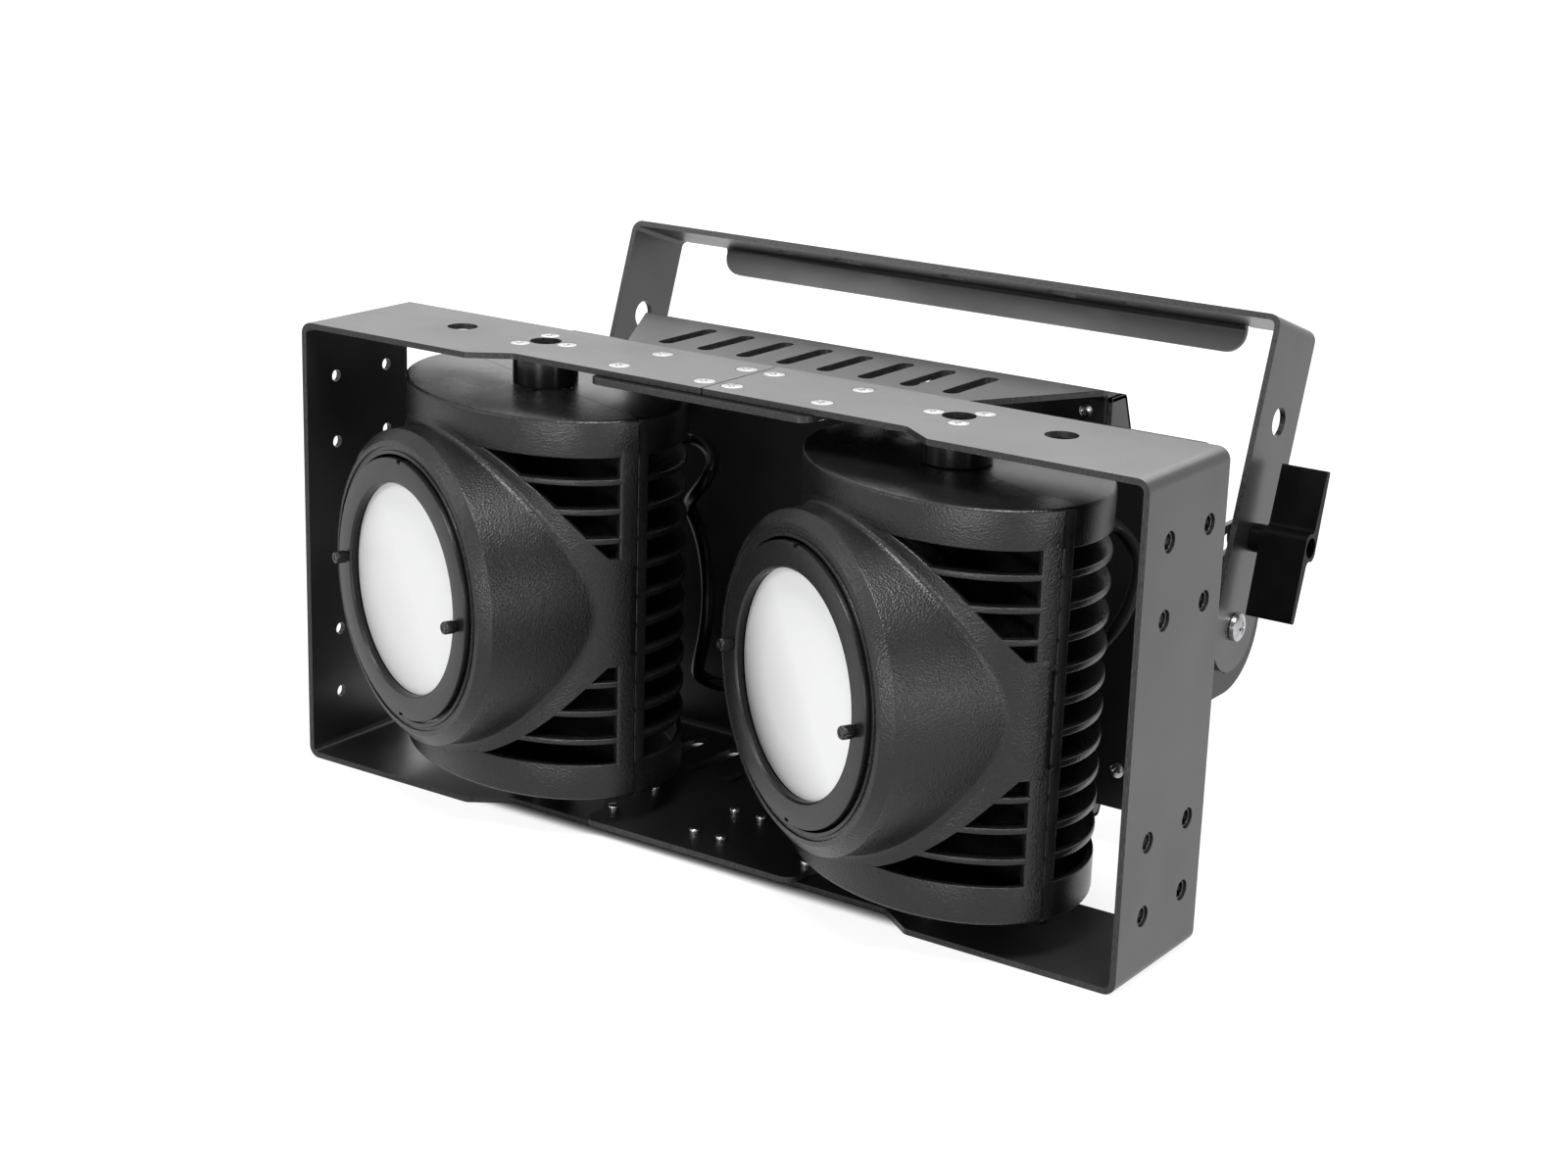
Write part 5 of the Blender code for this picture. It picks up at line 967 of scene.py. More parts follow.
def rear_chassis():
    """The flat cross with its slots and holes, folded at four lines."""
    roof_bend, roof_flat = ROOF - BEND, REAR_FACE - BEND
    ear_bend, ear_flat = EAR_X - BEND, FRONT_FACE + BEND

    def roof(y):
        return roof_bend + FOLD_LENGTH + roof_flat - y

    def ear(y):
        return ear_bend + FOLD_LENGTH + y - ear_flat

    widest = TONGUE + FLARE * (roof_flat - FLARE_START)
    slot_first, slot_last = radians(90 - 62), radians(90 + 32)
    lobe_radius = CLAMP + ARC_SLOT + EAR_WALL
    lobe_first = slot_first - asin((ARC_SLOT + EAR_WALL) / CLAMP)
    pivot = (ear(PIVOT_Y), PIVOT_Z)
    low, high = PIVOT_Z - EAR_RADIUS, PIVOT_Z + lobe_radius
    side = [(TONGUE, -roof(TONGUE_FRONT), 6), (TONGUE, -roof(FLARE_START), 6),
            (widest, -roof(roof_flat), 0), (widest, -WING_HALF, 0), (EAR_X, -WING_HALF, 3),
            (EAR_X, low - RELIEF, 0), (ear_bend, low - RELIEF, 0), (ear_bend, low, 0)]
    ear_edge = arc_points(pivot, EAR_RADIUS, -pi / 2, lobe_first, 20)
    ear_edge += arc_points(pivot, lobe_radius, lobe_first, pi / 2, 20)
    side += [(x, y, 0) for x, y in ear_edge]
    side += [(ear_bend, high, 0), (ear_bend, high + RELIEF, 0), (EAR_X, high + RELIEF, 0),
             (EAR_X, WING_HALF, 3), (widest, WING_HALF, 0), (widest, roof(roof_flat), 0),
             (TONGUE, roof(FLARE_START), 6), (TONGUE, roof(TONGUE_FRONT), 6)]
    holes = []
    for sign in BOTH:
        holes += [slot_outline((index - (SLOT_COUNT - 1) / 2) * SLOT_PITCH, sign * roof(SLOT_FRONT),
                               sign * roof(SLOT_REAR)) for index in range(SLOT_COUNT)]
        holes += [ring_of(2.7, 20, (mirror * x, sign * roof(y))) for mirror in BOTH for x, y in SPLICES]
        holes += [ring_of(1.9, 16, spot) for spot in COVER_SCREWS if spot[1] * sign > 0]
        holes += [ring_of(2.6, 20, spot) for spot in PANEL_SCREWS if spot[1] * sign > 0]
    holes += [ring_of(5.2, 28, spot) for spot in GROMMETS.values()]
    holes += [ring_of(4.2, 28, SAFETY_EYE)]
    ends = [(pivot[0] + CLAMP * cos(turn), pivot[1] + CLAMP * sin(turn))
            for turn in (slot_first, slot_last)]
    arc_slot = (arc_points(pivot, CLAMP + ARC_SLOT, slot_first, slot_last, 30)
                + arc_points(ends[1], ARC_SLOT, slot_last, slot_last + pi, 10)[1:-1]
                + arc_points(pivot, CLAMP - ARC_SLOT, slot_last, slot_first, 30)
                + arc_points(ends[0], ARC_SLOT, slot_first + pi, slot_first + 2 * pi, 10)[1:-1])
    for loop in (arc_slot, ring_of(4.2, 28, pivot), ring_of(4.0, 28, (pivot[0], pivot[1] - 17.6))):
        holes += [loop, mirrored(loop)]
    bm = flat_sheet(rounded(both_sides(side), 6), holes)
    for sign in BOTH:
        fold(bm, (0, -sign), roof_bend, True)
    for sign in BOTH:
        fold(bm, (-sign, 0), ear_bend, False, low - RELIEF / 2, high + RELIEF / 2)
    return outward(bm)


stood_up = axes((1, 0, 0, 0), (0, 0, -1, REAR_FACE - SHEET / 2), (0, 1, 0, 0))
piece("chassis_sheet", [(rear_chassis(), stood_up)], chassis_coat, "housing",
      ["rear_chassis"], edge_coat, EDGE_WEAR)

# %% [markdown]
# ### Yoke and wing knobs
# The yoke is a strip with two arms and a stiffening lip along the crossbar. The wing knobs are
# moulded: an S-shaped double wing on a round hub. Their outline is carried straight up and its edges
# are bevelled, and the hub with its bore is turned.

# %% Yoke
GAP = 0.3
ARM_OUTER = EAR_X + GAP + SHEET
YOKE_REACH, YOKE_HALF = 132.0, 20.0
YOKE_LEAN = 18.5
LIP_HALF, LIP_DEPTH = 139.5, 15
CROSSBAR_HOLES = ((0, 6.5), (-57.5, 8.2), (57.5, 8.2), (-92, 5.5), (92, 5.5))
ARM_HOLES = ((0, 4.2), (CLAMP, 4.3), (89, 6.5))


def yoke_sheet():
    """Crossbar, arms and lip about the pivot, before the yoke's lean."""
    arm_bend, lip_bend = ARM_OUTER - BEND, YOKE_HALF - BEND

    def arm(distance):
        return arm_bend + FOLD_LENGTH + YOKE_REACH - BEND - distance

    lip_edge = lip_bend + FOLD_LENGTH + LIP_DEPTH - BEND
    lip_notch = LIP_HALF + RELIEF
    side = [(x, y, 0) for x, y in arc_points((arm(0), 0), YOKE_HALF, -pi / 2, pi / 2, 28)]
    side += [(lip_notch, YOKE_HALF, 1.0), (lip_notch, lip_bend, 0), (LIP_HALF, lip_bend, 0),
             (LIP_HALF, lip_edge, 9)]
    holes = [ring_of(radius, 36, (x, 0)) for x, radius in CROSSBAR_HOLES]
    for distance, radius in ARM_HOLES:
        loop = ring_of(radius, 36, (arm(distance), 0))
        holes += [loop, mirrored(loop)]
    bm = flat_sheet(rounded([(0, -YOKE_HALF, 0)] + both_sides(side), 7), holes)
    lip_end = LIP_HALF + RELIEF / 2
    fold(bm, (0, 1), lip_bend, False, -lip_end, lip_end)
    for sign in BOTH:
        fold(bm, (-sign, 0), arm_bend, False)
    return outward(bm)


yoke_place = at(0, PIVOT_Y, PIVOT_Z) @ Matrix.Rotation(-radians(YOKE_LEAN), 4, "X")
piece("yoke_bar", [(yoke_sheet(), yoke_place @ at(0, 0, YOKE_REACH - SHEET / 2))], yoke_coat, "yoke",
      ["yoke"], edge_coat, EDGE_WEAR)

# %% Wing knobs
HUB, KNOB_WING, WING_REACH = 4.9, 21.0, 33.2
KNOB_BORE = 4.4


def wing_knob():
    """Parts of a knob from the arm's face up: the two wings with a bore between, and the hub."""
    tip = 1.2
    wing = [(WING_REACH, -3.7, tip), (WING_REACH, -0.6, tip), (5.8, -0.6, 2.4), (5.8, 6.1, 3.9)]
    outline = rounded(wing + [(-x, -y, radius) for x, y, radius in wing], 7)
    bm = bmesh.new()
    filled(bm, (outline, ring_of(KNOB_BORE, 40)), HUB, KNOB_WING)
    hub = turned([(KNOB_BORE, 0, 0.2), (6.2, 0, 0.3), (6.3, HUB + 2, 0), (KNOB_BORE, HUB + 2, 0)], 40,
                 ring=True)
    return [(outward(bm), EYE), (hub, EYE)]


knob_parts = wing_knob()
for name, side, heading in SIDES:
    here = yoke_place @ at(side * (ARM_OUTER + GAP), 0, CLAMP) @ heading
    piece(f"{name}_knob", placed(knob_parts, here), knob_black, f"{name}_wing_knob",
          [f"{name}_wing_knob"], bevel=0.7)
print("sheets and knobs done:", len(made))

# %% [markdown]
# ## Screws, nuts and bosses
# Screw heads are turned, with a cross recess worked into them as a height: the head's dome less a
# depth that is full where |x| or |y| is under half the blade's width and fades at the blade's ends.
# Their countersunk cones sit in the sheet's sinks. The press nuts are turned barrels.

# %% Screws
LEVELS = ((at(0, 0, FRAME_HALF_HEIGHT), 1), (OVER @ at(0, 0, FRAME_HALF_HEIGHT), -1))
SUNK = -0.05                      # a countersunk head lies this far below the sheet


def crossed_head(radius, dome, blade, depth, base):
    """Screw head along +Z: dome over height 0 with a cross recess; `base` is its underside's profile."""
    turn = full_turn(56)
    across = radius * np.linspace(0, 1, 17)[None] ** 0.85
    near, far = np.sort(np.abs((across * np.cos(turn), across * np.sin(turn))), axis=0)
    cut = np.clip((0.30 * blade - near) / (0.10 * blade), 0, 1)
    cut = cut * np.clip((blade * 1.15 - far) / (0.35 * blade), 0, 1)
    head = about_z(turn, across, dome * (1 - (across / radius) ** 2) - depth * cut)
    lower = about_z(turn, *np.asarray(base, float).T)
    return solid(np.concatenate((head, lower), axis=1), wrap_rows=True)


sunk_screw = crossed_head(4.55, 0.12, 1.9, 1.3, [(4.62, -0.12), (2.35, -2.3), (2.35, -6.6), (0, -6.6)])
bearing_screw = crossed_head(4.25, 0.12, 1.7, 1.2, [(4.32, -0.12), (1.85, -2.4), (1.7, -7.0), (0, -7.0)])
cover_screw = crossed_head(3.0, 0.9, 1.4, 1.0,
                           [(3.1, -0.5), (3.1, -0.75), (1.6, -0.75), (1.6, -6.5), (0, -6.5)])
panel_screw = crossed_head(3.3, 1.1, 1.5, 1.1,
                           [(3.4, -0.6), (3.4, -0.85), (2.2, -0.85), (2.2, -4.5), (0, -4.5)])
domed_end = turned([(0, -7.6, 0), (2.3, -7.6, 0.9), (2.35, -5.4, 0), (0, -5.4, 0)], 32)
press_nut = turned([(2.9, -0.9, 0.4), (4.1, -0.9, 0.3), (4.2, -2.6, 0), (6.0, -2.6, 0.2), (6.0, -4.8, 0.4),
                    (2.9, -4.8, 0.2)], 40, ring=True)
FASTENERS = {
    "splice_screws": [(mesh, level @ at(sign * x, flip * y, SUNK)) for level, flip in LEVELS
                      for sign in BOTH for x, y in SPLICES for mesh in (sunk_screw, domed_end)],
    "bearing_screws": [(bearing_screw, level @ at(side * HALF_PITCH - side * x, flip * (PAN_AXIS + y), SUNK))
                       for level, flip in LEVELS for side in BOTH for x, y in BEARING_SCREWS],
    "cover_screws": [(cover_screw, at(x, FRONT_FACE - 0.8, z) @ TO_FRONT) for x, z in COVER_SCREWS],
    "panel_screws": [(panel_screw, at(x, FRONT_FACE - 0.85, z) @ TO_FRONT) for x, z in PANEL_SCREWS]}
for name, shapes in FASTENERS.items():
    piece(name, shapes, zinc, "housing")
piece("press_nuts", [(press_nut, at(FRAME_HALF_WIDTH, y, sign * z) @ TO_RIGHT) for sign in BOTH
                     for z in SIDE_HEIGHTS for y in SIDE_DEPTHS], black_steel, "housing")

# %% Pivots and clamps
INSIDE_EAR = EAR_X - SHEET - GAP
CLAMP_END = ARM_OUTER + GAP + HUB + KNOB_WING
NUT_THICKNESS = 5.0


def hexagon_nut(radius, thickness, bore):
    """Nut from height 0 up: a hexagon whose corners a cone of 30 degrees takes off above and below."""
    turn = full_turn(72)
    flat = radius * cos(pi / 6) / np.cos((turn % (pi / 3)) - pi / 6)
    inside, cut_off = np.full_like(turn, bore), np.minimum(flat, radius * 0.9)
    drop = radius * 0.1 * tan(pi / 6)
    return solid(about_z(turn, np.concatenate((inside, cut_off, flat, flat, cut_off, inside), axis=1),
                         np.array([0.0, 0.0, drop, thickness - drop, thickness, thickness])),
                 wrap_rows=True, wrap_columns=True)


pivot_head = crossed_head(6.0, 1.8, 2.4, 1.8,
                          [(6.15, -1.4), (6.15, -2.0), (3.9, -2.0), (3.9, -14.5), (0, -14.5)])
pivot_nut = hexagon_nut(7.2, NUT_THICKNESS, 4.1)
clamp_bolt = turned([(0, INSIDE_EAR - 4.0, 0), (6.8, INSIDE_EAR - 4.0, 0.8), (6.8, INSIDE_EAR, 0.2),
                     (4.0, INSIDE_EAR, 0), (4.0, CLAMP_END - 8.2, 0), (3.4, CLAMP_END - 7.5, 0),
                     (0, CLAMP_END - 7.5, 0)], 36, arc_steps=3)
for name, side, heading in SIDES:
    for look, mesh, reach, stands_for in (("bolt", pivot_head, ARM_OUTER + 2.3, "screw"),
                                          ("hex_nut", pivot_nut, INSIDE_EAR - NUT_THICKNESS, "nut")):
        piece(f"{name}_pivot_{look}", [(mesh, at(side * reach, PIVOT_Y, PIVOT_Z) @ heading)], zinc,
              "housing", [f"{name}_pivot_{stands_for}"])
    piece(f"{name}_clamp_stud", [(clamp_bolt, yoke_place @ at(0, 0, CLAMP) @ heading)], black_steel, "yoke",
          [f"{name}_clamp_bolt"])

# %% Pan bosses
boss = turned([(5.3, 83.8, 0), (14.3, 83.8, 0.5), (14.3, 99.1, 0.4), (5.3, 99.1, 0.4)], 72, ring=True)
for name, side, _ in SIDES:
    for level, flip in (("top", EYE), ("bottom", OVER)):
        piece(f"{name}_{level}_bearing", [(boss, at(side * HALF_PITCH, PAN_AXIS, 0) @ flip)], boss_black,
              "housing", [f"{name}_{level}_boss"])

# %% [markdown]
# ## Lamp leads
# Each lead leaves the gland straight back, hangs in a slack loop that lets the head swivel, and ends
# in a grommet. It is held at both ends, so it isn't a free cord; here it is made once, in place, and
# rides on neither body. The route is a smooth curve through points, relaxed by giving each of its
# points the mean of itself and its neighbours again and again, and the tube is a circle carried along
# it with a direction that is passed on from each point to the next. The photograph shows a short part
# of the right lead, and the rest of both routes is a guess.

# %% Leads
SMOOTHING_PASSES = 60
HELD = 3                          # points at each end that smoothing leaves alone
LEAD_RADIUS = 3.0
ROUTES = {
    "left": ((-74.5, 113.0, 50.0), (-61.0, 108.0, 45.5), (-57.0, 96.5, 37.0), (-68.0, 100.0, 26.0),
             (-76.0, 110.0, 18.0), (-65.0, 104.0, 9.0), (-53.0, 94.0, -7.0), (-51.0, 91.0, -28.0),
             (-58.0, 95.0, -48.0), (-66.0, 106.0, -60.0), (-57.0, 117.0, -66.0)),
    "right": ((141.0, 113.0, 48.0), (150.0, 115.0, 38.0), (151.0, 111.0, 22.0), (146.0, 106.0, 6.0),
              (134.0, 106.0, -8.0), (119.0, 111.0, -20.0))}


def smooth_route(knots, samples=14):
    """Catmull-Rom curve through the knots, each stretch a cubic that starts along its neighbours' chord."""
    knots = np.asarray(knots, float)
    knots = np.concatenate(([2 * knots[0] - knots[1]], knots, [2 * knots[-1] - knots[-2]]))
    t = np.linspace(0, 1, samples, endpoint=False)[None, :, None]
    p0, p1, p2, p3 = (knots[i:len(knots) - 3 + i, None] for i in range(4))
    curve = 0.5 * (2 * p1 + (p2 - p0) * t + (2 * p0 - 5 * p1 + 4 * p2 - p3) * t ** 2
                   + (3 * p1 - p0 - 3 * p2 + p3) * t ** 3)
    curve = np.concatenate((curve.reshape(-1, 3), knots[-2:-1]))
    for _ in range(SMOOTHING_PASSES):
        before, here, after = curve[HELD - 1:-HELD - 1], curve[HELD:-HELD], curve[HELD + 1:1 - HELD]
        curve[HELD:-HELD] = (before + 2 * here + after) / 4
    return curve


def tube(route, radius, steps=20):
    """Round cable along a route; its side direction is carried along without twist."""
    ahead = np.gradient(route, axis=0)
    ahead /= np.linalg.norm(ahead, axis=1)[:, None]
    side = np.zeros_like(ahead)
    previous = np.cross(ahead[0], (0, 0, 1.0))
    for index, direction in enumerate(ahead):
        previous = previous - direction * previous.dot(direction)
        previous /= np.linalg.norm(previous)
        side[index] = previous
    section, above = ring_of(radius, steps), np.cross(ahead, side)
    points = route[:, None] + section[None, :, :1] * side[:, None] + section[None, :, 1:] * above[:, None]
    return solid(points, wrap_columns=True, caps=True)


grommet_ring = turned([(3.1, -4.6, 0.8), (7.0, -4.6, 0.9), (7.0, -2.9, 0.2), (5.1, -2.9, 0), (5.1, 0.2, 0),
                       (7.0, 0.2, 0.2), (7.0, 2.0, 0.9), (3.1, 2.0, 0.8)], 40, ring=True)
for name, side, _ in SIDES:
    x, z = GROMMETS[name]
    turn = radians(PAN[name])
    back = np.array((sin(turn), cos(turn), 0.0))
    first = np.array((side * HALF_PITCH, PAN_AXIS, GLAND_HEIGHT)) + back * 66.0
    last = np.array((x, FRONT_FACE + 2.0, z))
    curve = smooth_route([first, first + back * 7.0, *ROUTES[name], last - np.array((0, 10.0, 0)), last])
    lead = piece(f"{name}_slack_lead", [(tube(curve, LEAD_RADIUS), EYE)], cable_black, None,
                 [f"{name}_lamp_lead"])
    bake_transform(lead)
    print(name, "lead:", round(float(np.linalg.norm(np.diff(curve, axis=0), axis=1).sum()), 1), "mm")
for name, (x, z) in GROMMETS.items():
    piece(f"{name}_grommet", [(grommet_ring, at(x, FRONT_FACE, z) @ TO_FRONT)], rubber_black, "housing",
          [f"{name}_lead_grommet"])

# %% [markdown]
# ## Behind the back plate
# The electronics cover is folded from one sheet with sloping top and bottom. It carries four panel
# connectors on its left side, and a smoked window, four push buttons and a fuse cap on its rear. The
# safety eye is a ring welded to a threaded base, for the second suspension. The photograph shows
# only an edge of the cover, and all the rest is a guess.

# %% Cover
COVER_LEFT, COVER_RIGHT = -57.0, 121.5
COVER_MOUTH, COVER_REAR = 137.5, 172.0
COVER_TOP, COVER_FLAT = 95, 38                    # half heights of its mouth and of its rear
CONNECTOR_DEPTH, CONNECTOR_PITCH = 150.2, 30.5
BUTTON_HEIGHT, BUTTON_MIDDLE, BUTTON_PITCH = -20.0, 30, 14
FUSE_X = 90.0
CONNECTOR_HEIGHTS = [(1.5 - index) * CONNECTOR_PITCH for index in range(4)]
BUTTONS = [BUTTON_MIDDLE + (index - 1.5) * BUTTON_PITCH for index in range(4)]
ALONG_X = axes((0, 0, 1, 0), (1, 0, 0, 0), (0, 1, 0, 0))
REAR_PLANE = axes((1, 0, 0, 0), (0, 0, 1, COVER_REAR), (0, 1, 0, 0))


def wall_plate(outline, holes, thickness=2.0):
    """Flat wall of the cover with its holes, its outer face at height 0."""
    bm = flat_sheet(outline, holes, thickness=thickness)
    bm.transform(at(0, 0, -thickness / 2))
    return outward(bm)


side_outline = rounded([(COVER_MOUTH, -COVER_TOP, 0), (149.8, -COVER_TOP, 2.5), (171.8, -COVER_FLAT, 2.5),
                        (171.8, COVER_FLAT, 2.5), (149.8, COVER_TOP, 2.5), (COVER_MOUTH, COVER_TOP, 0)], 5)
left_wall = wall_plate(side_outline, [ring_of(10.7, 40, (CONNECTOR_DEPTH, z)) for z in CONNECTOR_HEIGHTS])
right_wall = wall_plate(side_outline, [])
rear_holes = [box_outline(4.0, -4.0, 56.0, 20.0, 2.0), ring_of(6.6, 32, (FUSE_X, 0.0))]
rear_holes += [ring_of(4.4, 28, (x, BUTTON_HEIGHT)) for x in BUTTONS]
rear_wall = wall_plate(box_outline(COVER_LEFT + 0.2, -COVER_FLAT, COVER_RIGHT - 0.2, COVER_FLAT, 0.3),
                       rear_holes)
wrap = rounded([(COVER_MOUTH, COVER_TOP, 0), (150.0, COVER_TOP, 2.6), (COVER_REAR, COVER_FLAT, 2.6),
                (COVER_REAR, 36.0, 0), (170.0, 36.0, 0), (170.1, 37.5, 0.6), (148.7, 93.0, 0.8),
                (COVER_MOUTH, 93, 0)], 6)
slope = prism(wrap, COVER_LEFT, COVER_RIGHT, 0.3, 2)
piece("folded_cover", [(left_wall, axes((0, 0, -1, COVER_LEFT), (1, 0, 0, 0), (0, 1, 0, 0))),
                       (right_wall, axes((0, 0, 1, COVER_RIGHT), (1, 0, 0, 0), (0, 1, 0, 0))),
                       (rear_wall, REAR_PLANE), (slope, ALONG_X), (slope, FLIP @ ALONG_X)],
      cover_coat, "housing", ["electronics_cover"], edge_coat, 0.3)

# %% Window, buttons and fuse
window = prism(box_outline(4.3, -3.7, 55.7, 19.7, 1.8), -1.9, -0.2, 0.25, 2)
piece("display_pane", [(window, REAR_PLANE)], display_glass, "housing", ["display_window"])
button = turned([(0, 1.5, 0), (2.6, 1.6, 0), (4.0, 1.8, 0.7), (4.0, -2.4, 0), (5.2, -2.4, 0.2),
                 (5.2, -3.4, 0.2), (0, -3.4, 0)], 40)
for name, x in zip(("menu", "down", "up", "enter"), BUTTONS):
    piece(f"{name}_key", [(button, at(x, COVER_REAR, BUTTON_HEIGHT) @ TO_REAR)], button_black,
          f"{name}_button", [f"{name}_button"])
fuse = turned([(0, 5.2, 0), (2.2, 5.2, 0.2), (2.4, 6.0, 0.2), (6.6, 6.0, 0.8), (7.9, 1.0, 0.4),
               (7.9, 0.35, 0.1), (6.2, 0.35, 0), (6.2, -14.0, 0.4), (0, -14.0, 0)], 48)
piece("fuse_cap", [(fuse, at(FUSE_X, COVER_REAR, 0) @ TO_REAR)], plastic_black, "housing",
      ["fuse_holder"])


# %% Connectors
PIN_CIRCLE = 4.2


def panel_connector(inlet):
    """Flange with rounded corners, barrel with a bore and a floor, along +Z; an inlet has a key in it."""
    flange = prism(box_outline(-14.5, -12.0, 14.5, 12.0, 3.0, 6), 0.3, 2.3, 0.5)
    barrel = turned([(8.0, 6.0, 0.5), (10.3, 6.0, 0.7), (10.3, -20.0, 0.5), (8.0, -20.0, 0.4)], 56, ring=True)
    floor = turned([(0, -9.0, 0), (8.2, -9.0, 0), (8.2, -20.0, 0), (0, -20.0, 0)], 40)
    key = [prism(box_outline(-1.2, 5.4, 1.2, 8.4, 0.3), -9.5, 4.5)] if inlet else []
    return [(mesh, EYE) for mesh in (flange, barrel, floor, *key)]


contact = turned([(0, -9.5, 0), (1.1, -9.5, 0), (1.1, 3.6, 0.5), (0, 3.6, 0)], 20)
flange_screw = crossed_head(2.3, 0.5, 1.1, 0.8, [(2.3, -0.3), (1.2, -0.3), (1.2, -2.0), (0, -2.0)])
CONNECTORS = (("power_inlet", plastic_blue, "connector_blue", 3),
              ("power_outlet", plastic_grey, "connector_grey", 3),
              ("data_inlet", plastic_black, "connector_black", 3),
              ("data_outlet", plastic_black, "connector_black", 5))
for (name, look, slot, pins), z in zip(CONNECTORS, CONNECTOR_HEIGHTS):
    here = at(COVER_LEFT, CONNECTOR_DEPTH, z) @ TO_LEFT
    piece(f"{name}_socket_body", placed(panel_connector(name.endswith("inlet")), here), look, "housing",
          [name])
    spots = [(PIN_CIRCLE * cos(turn), PIN_CIRCLE * sin(turn)) for turn in full_turn(pins)[:, 0]]
    piece(f"{name}_contacts", [(contact, here @ at(x, y, 0)) for x, y in spots], brass, "housing")
    piece(f"{name}_flange_screws", [(flange_screw, here @ at(sign * 11.6, sign * 9.2, 2.6)) for sign in BOTH],
          black_steel, "housing")

# %% Safety eye
def welded_ring(radius, wire_radius, steps=64, around=20):
    """Torus: a circle of the wire's radius carried round the ring's circle."""
    roll = full_turn(around).T
    points = about_z(full_turn(steps), radius + wire_radius * np.cos(roll), wire_radius * np.sin(roll))
    return solid(points, wrap_rows=True, wrap_columns=True)


eye_base = turned([(0, -8.2, 0), (3.5, -8.2, 0.3), (3.9, -7.8, 0), (3.9, 0, 0), (8.0, 0, 0.3),
                   (8.0, 3.0, 1.0), (0, 3.4, 0)], 48)
eye_x, eye_z = SAFETY_EYE
eye_here = at(eye_x, REAR_FACE + GAP, eye_z) @ TO_REAR
piece("eye_and_ring", [(eye_base, eye_here), (welded_ring(11.0, 2.5), eye_here @ at(0, 0, 15.25) @ TO_RIGHT)],
      zinc, "housing", ["safety_eye"])
piece("eye_hex_nut", [(pivot_nut, at(eye_x, FRONT_FACE - GAP, eye_z) @ TO_FRONT)], zinc, "housing",
      ["safety_eye_nut"])

# %% [markdown]
# ## CAD nodes that keep their shape
# What nobody sees from outside stays as the CAD has it, and only gets its finish.

# %% Finishes for CAD nodes
KEPT = {"power_supply": bare_sheet, "driver_board": board_green, "control_board": board_green}
for name, _, _ in SIDES:
    KEPT.update({f"{name}_reflector": mirror, f"{name}_led_module": led_yellow})
    KEPT.update({f"{name}_{pin}": black_steel for pin in ("lock_screw", "top_pan_pin", "bottom_pan_pin")})
for node_name, look in KEPT.items():
    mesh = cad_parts[node_name].data
    mesh.materials.clear()
    mesh.materials.append(look)
print("CAD nodes kept:", len(KEPT), "pieces:", len(made))

# %% [markdown]
# ## Floor and light
# The photograph has a plain white ground and big soft lights. Black metal shows mostly what it
# reflects, so the world is white to the camera and to gloss, and dimmer where it lights surfaces.
# The ground glows white too and is less bright where the light's shadow falls; right under the light
# its glow is left out, a painted shadow, so that the slots in its floor look dark. Small soft lamps
# above, in front and beside the light and a large one behind it draw the highlights along the castings.

# %% Floor, world, lamps
WORLD_LIGHT = 0.28
FLOOR_SIZE, FLOOR_DROP = 8.0, 0.0005
FLOOR_GREY = (0.30, 0.30, 0.30, 1)
GLOW_NEAR, GLOW_REACH = 0.86, (0.3, 1.1)
# Half width, shift to the front and half depth of each painted shadow, where the floor doesn't glow, in
# metres
PAINTED_SHADOWS = ((0.118, 0.018, 0.060), (0.188, 0.052, 0.026))
BLUR_X, BLUR_Y = 0.007, 0.006


def beyond_surfaces(tree):
    """1 for rays of the camera, of gloss and of glass, 0 for rays that light surfaces."""
    seen = node(tree, "LightPath", {}, "Is Camera Ray")
    for ray in ("Is Glossy Ray", "Is Transmission Ray"):
        seen = combined(tree, "MAXIMUM", seen, node(tree, "LightPath", {}, ray))
    return seen


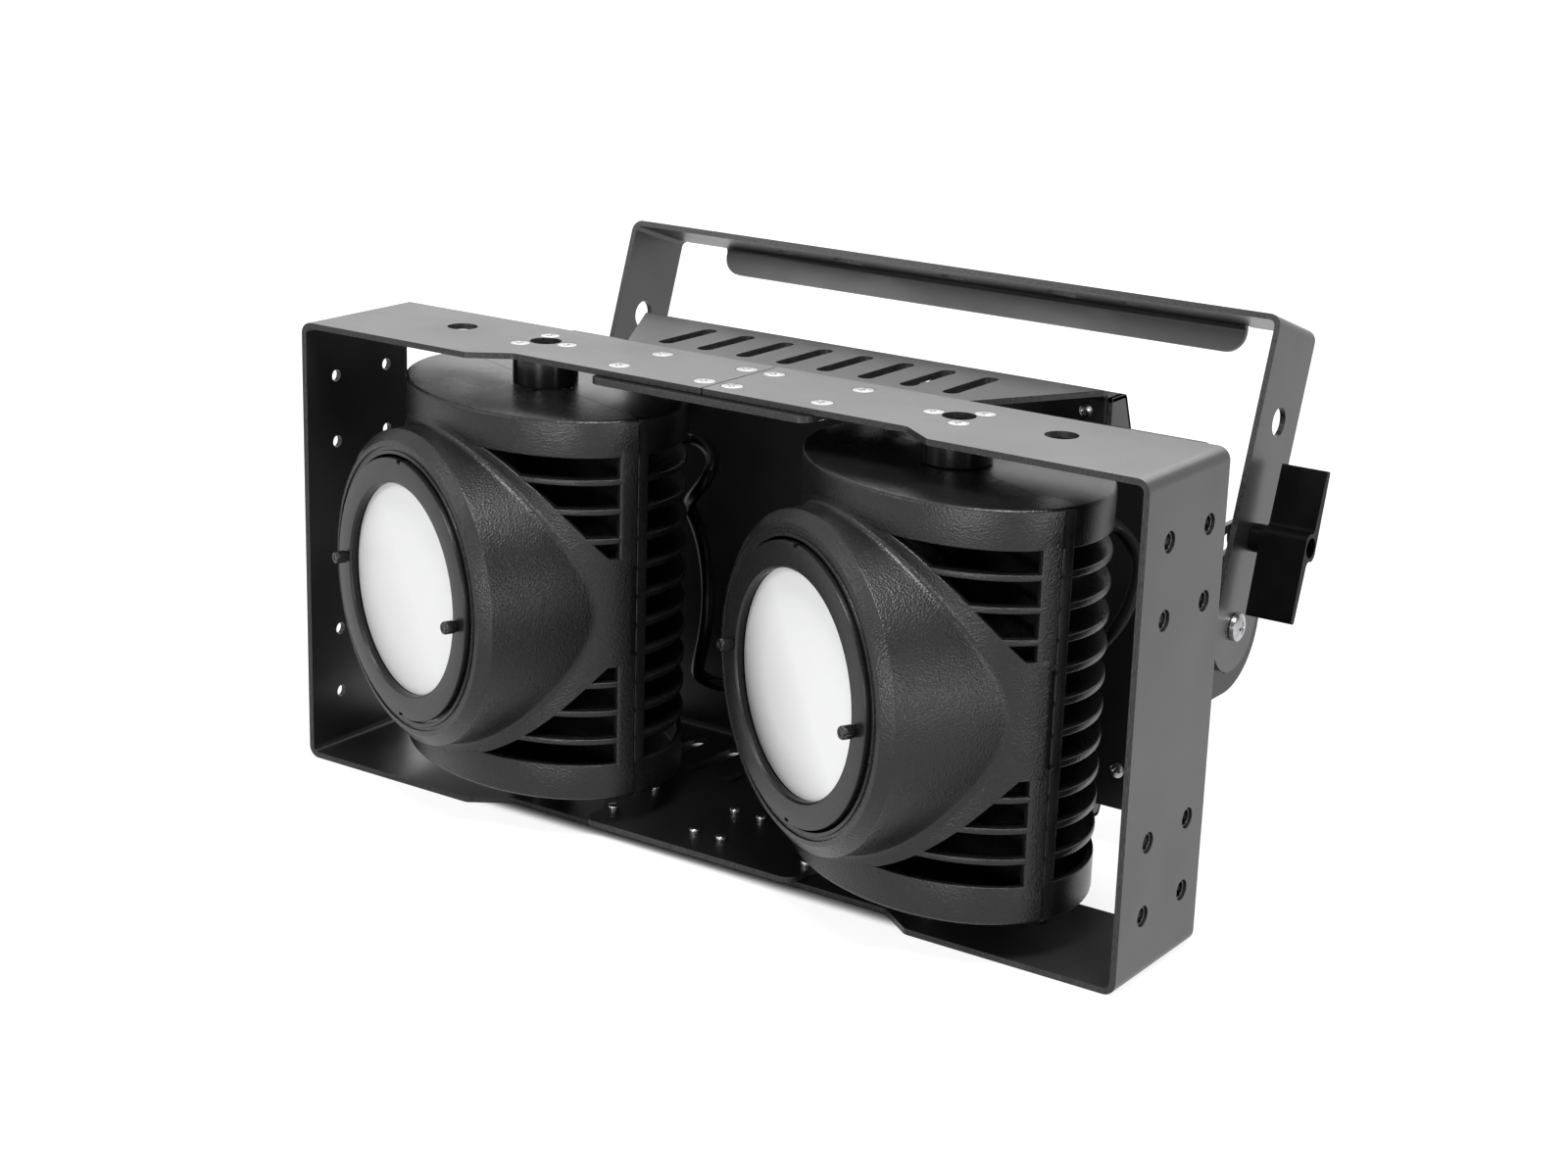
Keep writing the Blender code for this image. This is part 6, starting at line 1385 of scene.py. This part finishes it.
def white_ground():
    """Pale floor: part diffuse, so that it takes the shadow, and part glow that lights nothing.

    The glow is 0 within two rectangles under the frame and under the chassis, a painted shadow,
    0.86 round the object and 1 from a metre on.
    """
    look, tree, place = new_finish("white_ground", 0.9, specular=0.0)
    shader = tree.nodes["Principled BSDF"]
    shader.inputs["Base Color"].default_value = FLOOR_GREY
    reach = node(tree, "VectorMath", {0: place}, "Value", operation="LENGTH")
    glow = remap(tree, reach, *GLOW_REACH, GLOW_NEAR, 1.0, "SMOOTHSTEP")
    across, deep = (node(tree, "SeparateXYZ", {0: place}, axis) for axis in ("X", "Y"))
    # Painted shadow: no glow inside each rectangle under the light
    for half_width, forward, half_depth in PAINTED_SHADOWS:
        beside = remap(tree, combined(tree, "ABSOLUTE", across), half_width - BLUR_X, half_width + BLUR_X,
                       0.0, 1.0, "SMOOTHSTEP")
        depth = combined(tree, "ABSOLUTE", combined(tree, "ADD", deep, forward))
        before = remap(tree, depth, half_depth - BLUR_Y, half_depth + BLUR_Y, 0.0, 1.0, "SMOOTHSTEP")
        glow = combined(tree, "MULTIPLY", glow, combined(tree, "MAXIMUM", beside, before))
    strength = combined(tree, "MULTIPLY", glow, beyond_surfaces(tree))
    glowing = node(tree, "Emission", {"Strength": strength})
    tree.links.new(node(tree, "AddShader", {0: shader.outputs[0], 1: glowing}),
                   tree.nodes["Material Output"].inputs["Surface"])
    return look


bm = bmesh.new()
bmesh.ops.create_grid(bm, x_segments=1, y_segments=1, size=FLOOR_SIZE)
floor_mesh = bpy.data.meshes.new("floor")
bm.to_mesh(floor_mesh)
bm.free()
floor_mesh.materials.append(white_ground())
floor = bpy.data.objects.new("floor", floor_mesh)
floor.location.z = -FLOOR_DROP
bpy.context.scene.collection.objects.link(floor)

world = bpy.data.worlds.new("studio")
bpy.context.scene.world = world
world.use_nodes = True
sky = world.node_tree.nodes["Background"]
sky.inputs["Color"].default_value = (1, 1, 1, 1)
tree = world.node_tree
brightness = remap(tree, beyond_surfaces(tree), 0.0, 1.0, WORLD_LIGHT, 1.0, "SMOOTHSTEP")
tree.links.new(brightness, sky.inputs["Strength"])

# Name, place in metres, width, height and power of each soft lamp; all aim at one point
LAMPS = (("overhead", (0.35, -0.35, 1.15), 0.6, 0.3, 17.0), ("behind", (-0.6, 1.7, 1.3), 2.4, 1.0, 16.0),
         ("left", (-0.9, -1.1, 0.9), 0.3, 0.5, 5.0), ("front", (0.25, -1.35, 0.22), 0.45, 0.25, 7.0),
         ("right", (1.25, -0.4, 0.24), 0.25, 0.4, 3.5))
AIM = Vector((0, 0, 0.1))
for name, place, width, height, power in LAMPS:
    lamp = bpy.data.objects.new(name, bpy.data.lights.new(name, "AREA"))
    lamp.data.shape = "RECTANGLE"
    lamp.data.size, lamp.data.size_y = width, height
    lamp.data.energy = power
    lamp.location = place
    lamp.rotation_mode = "QUATERNION"
    lamp.rotation_quaternion = (AIM - Vector(place)).to_track_quat("-Z", "Y")
    bpy.context.scene.collection.objects.link(lamp)

# %% [markdown]
# ## Update
# The view layer is brought up to date once more. The dressed part has to stay inside the
# CAD model's box.

# %% Update
bpy.context.view_layer.update()
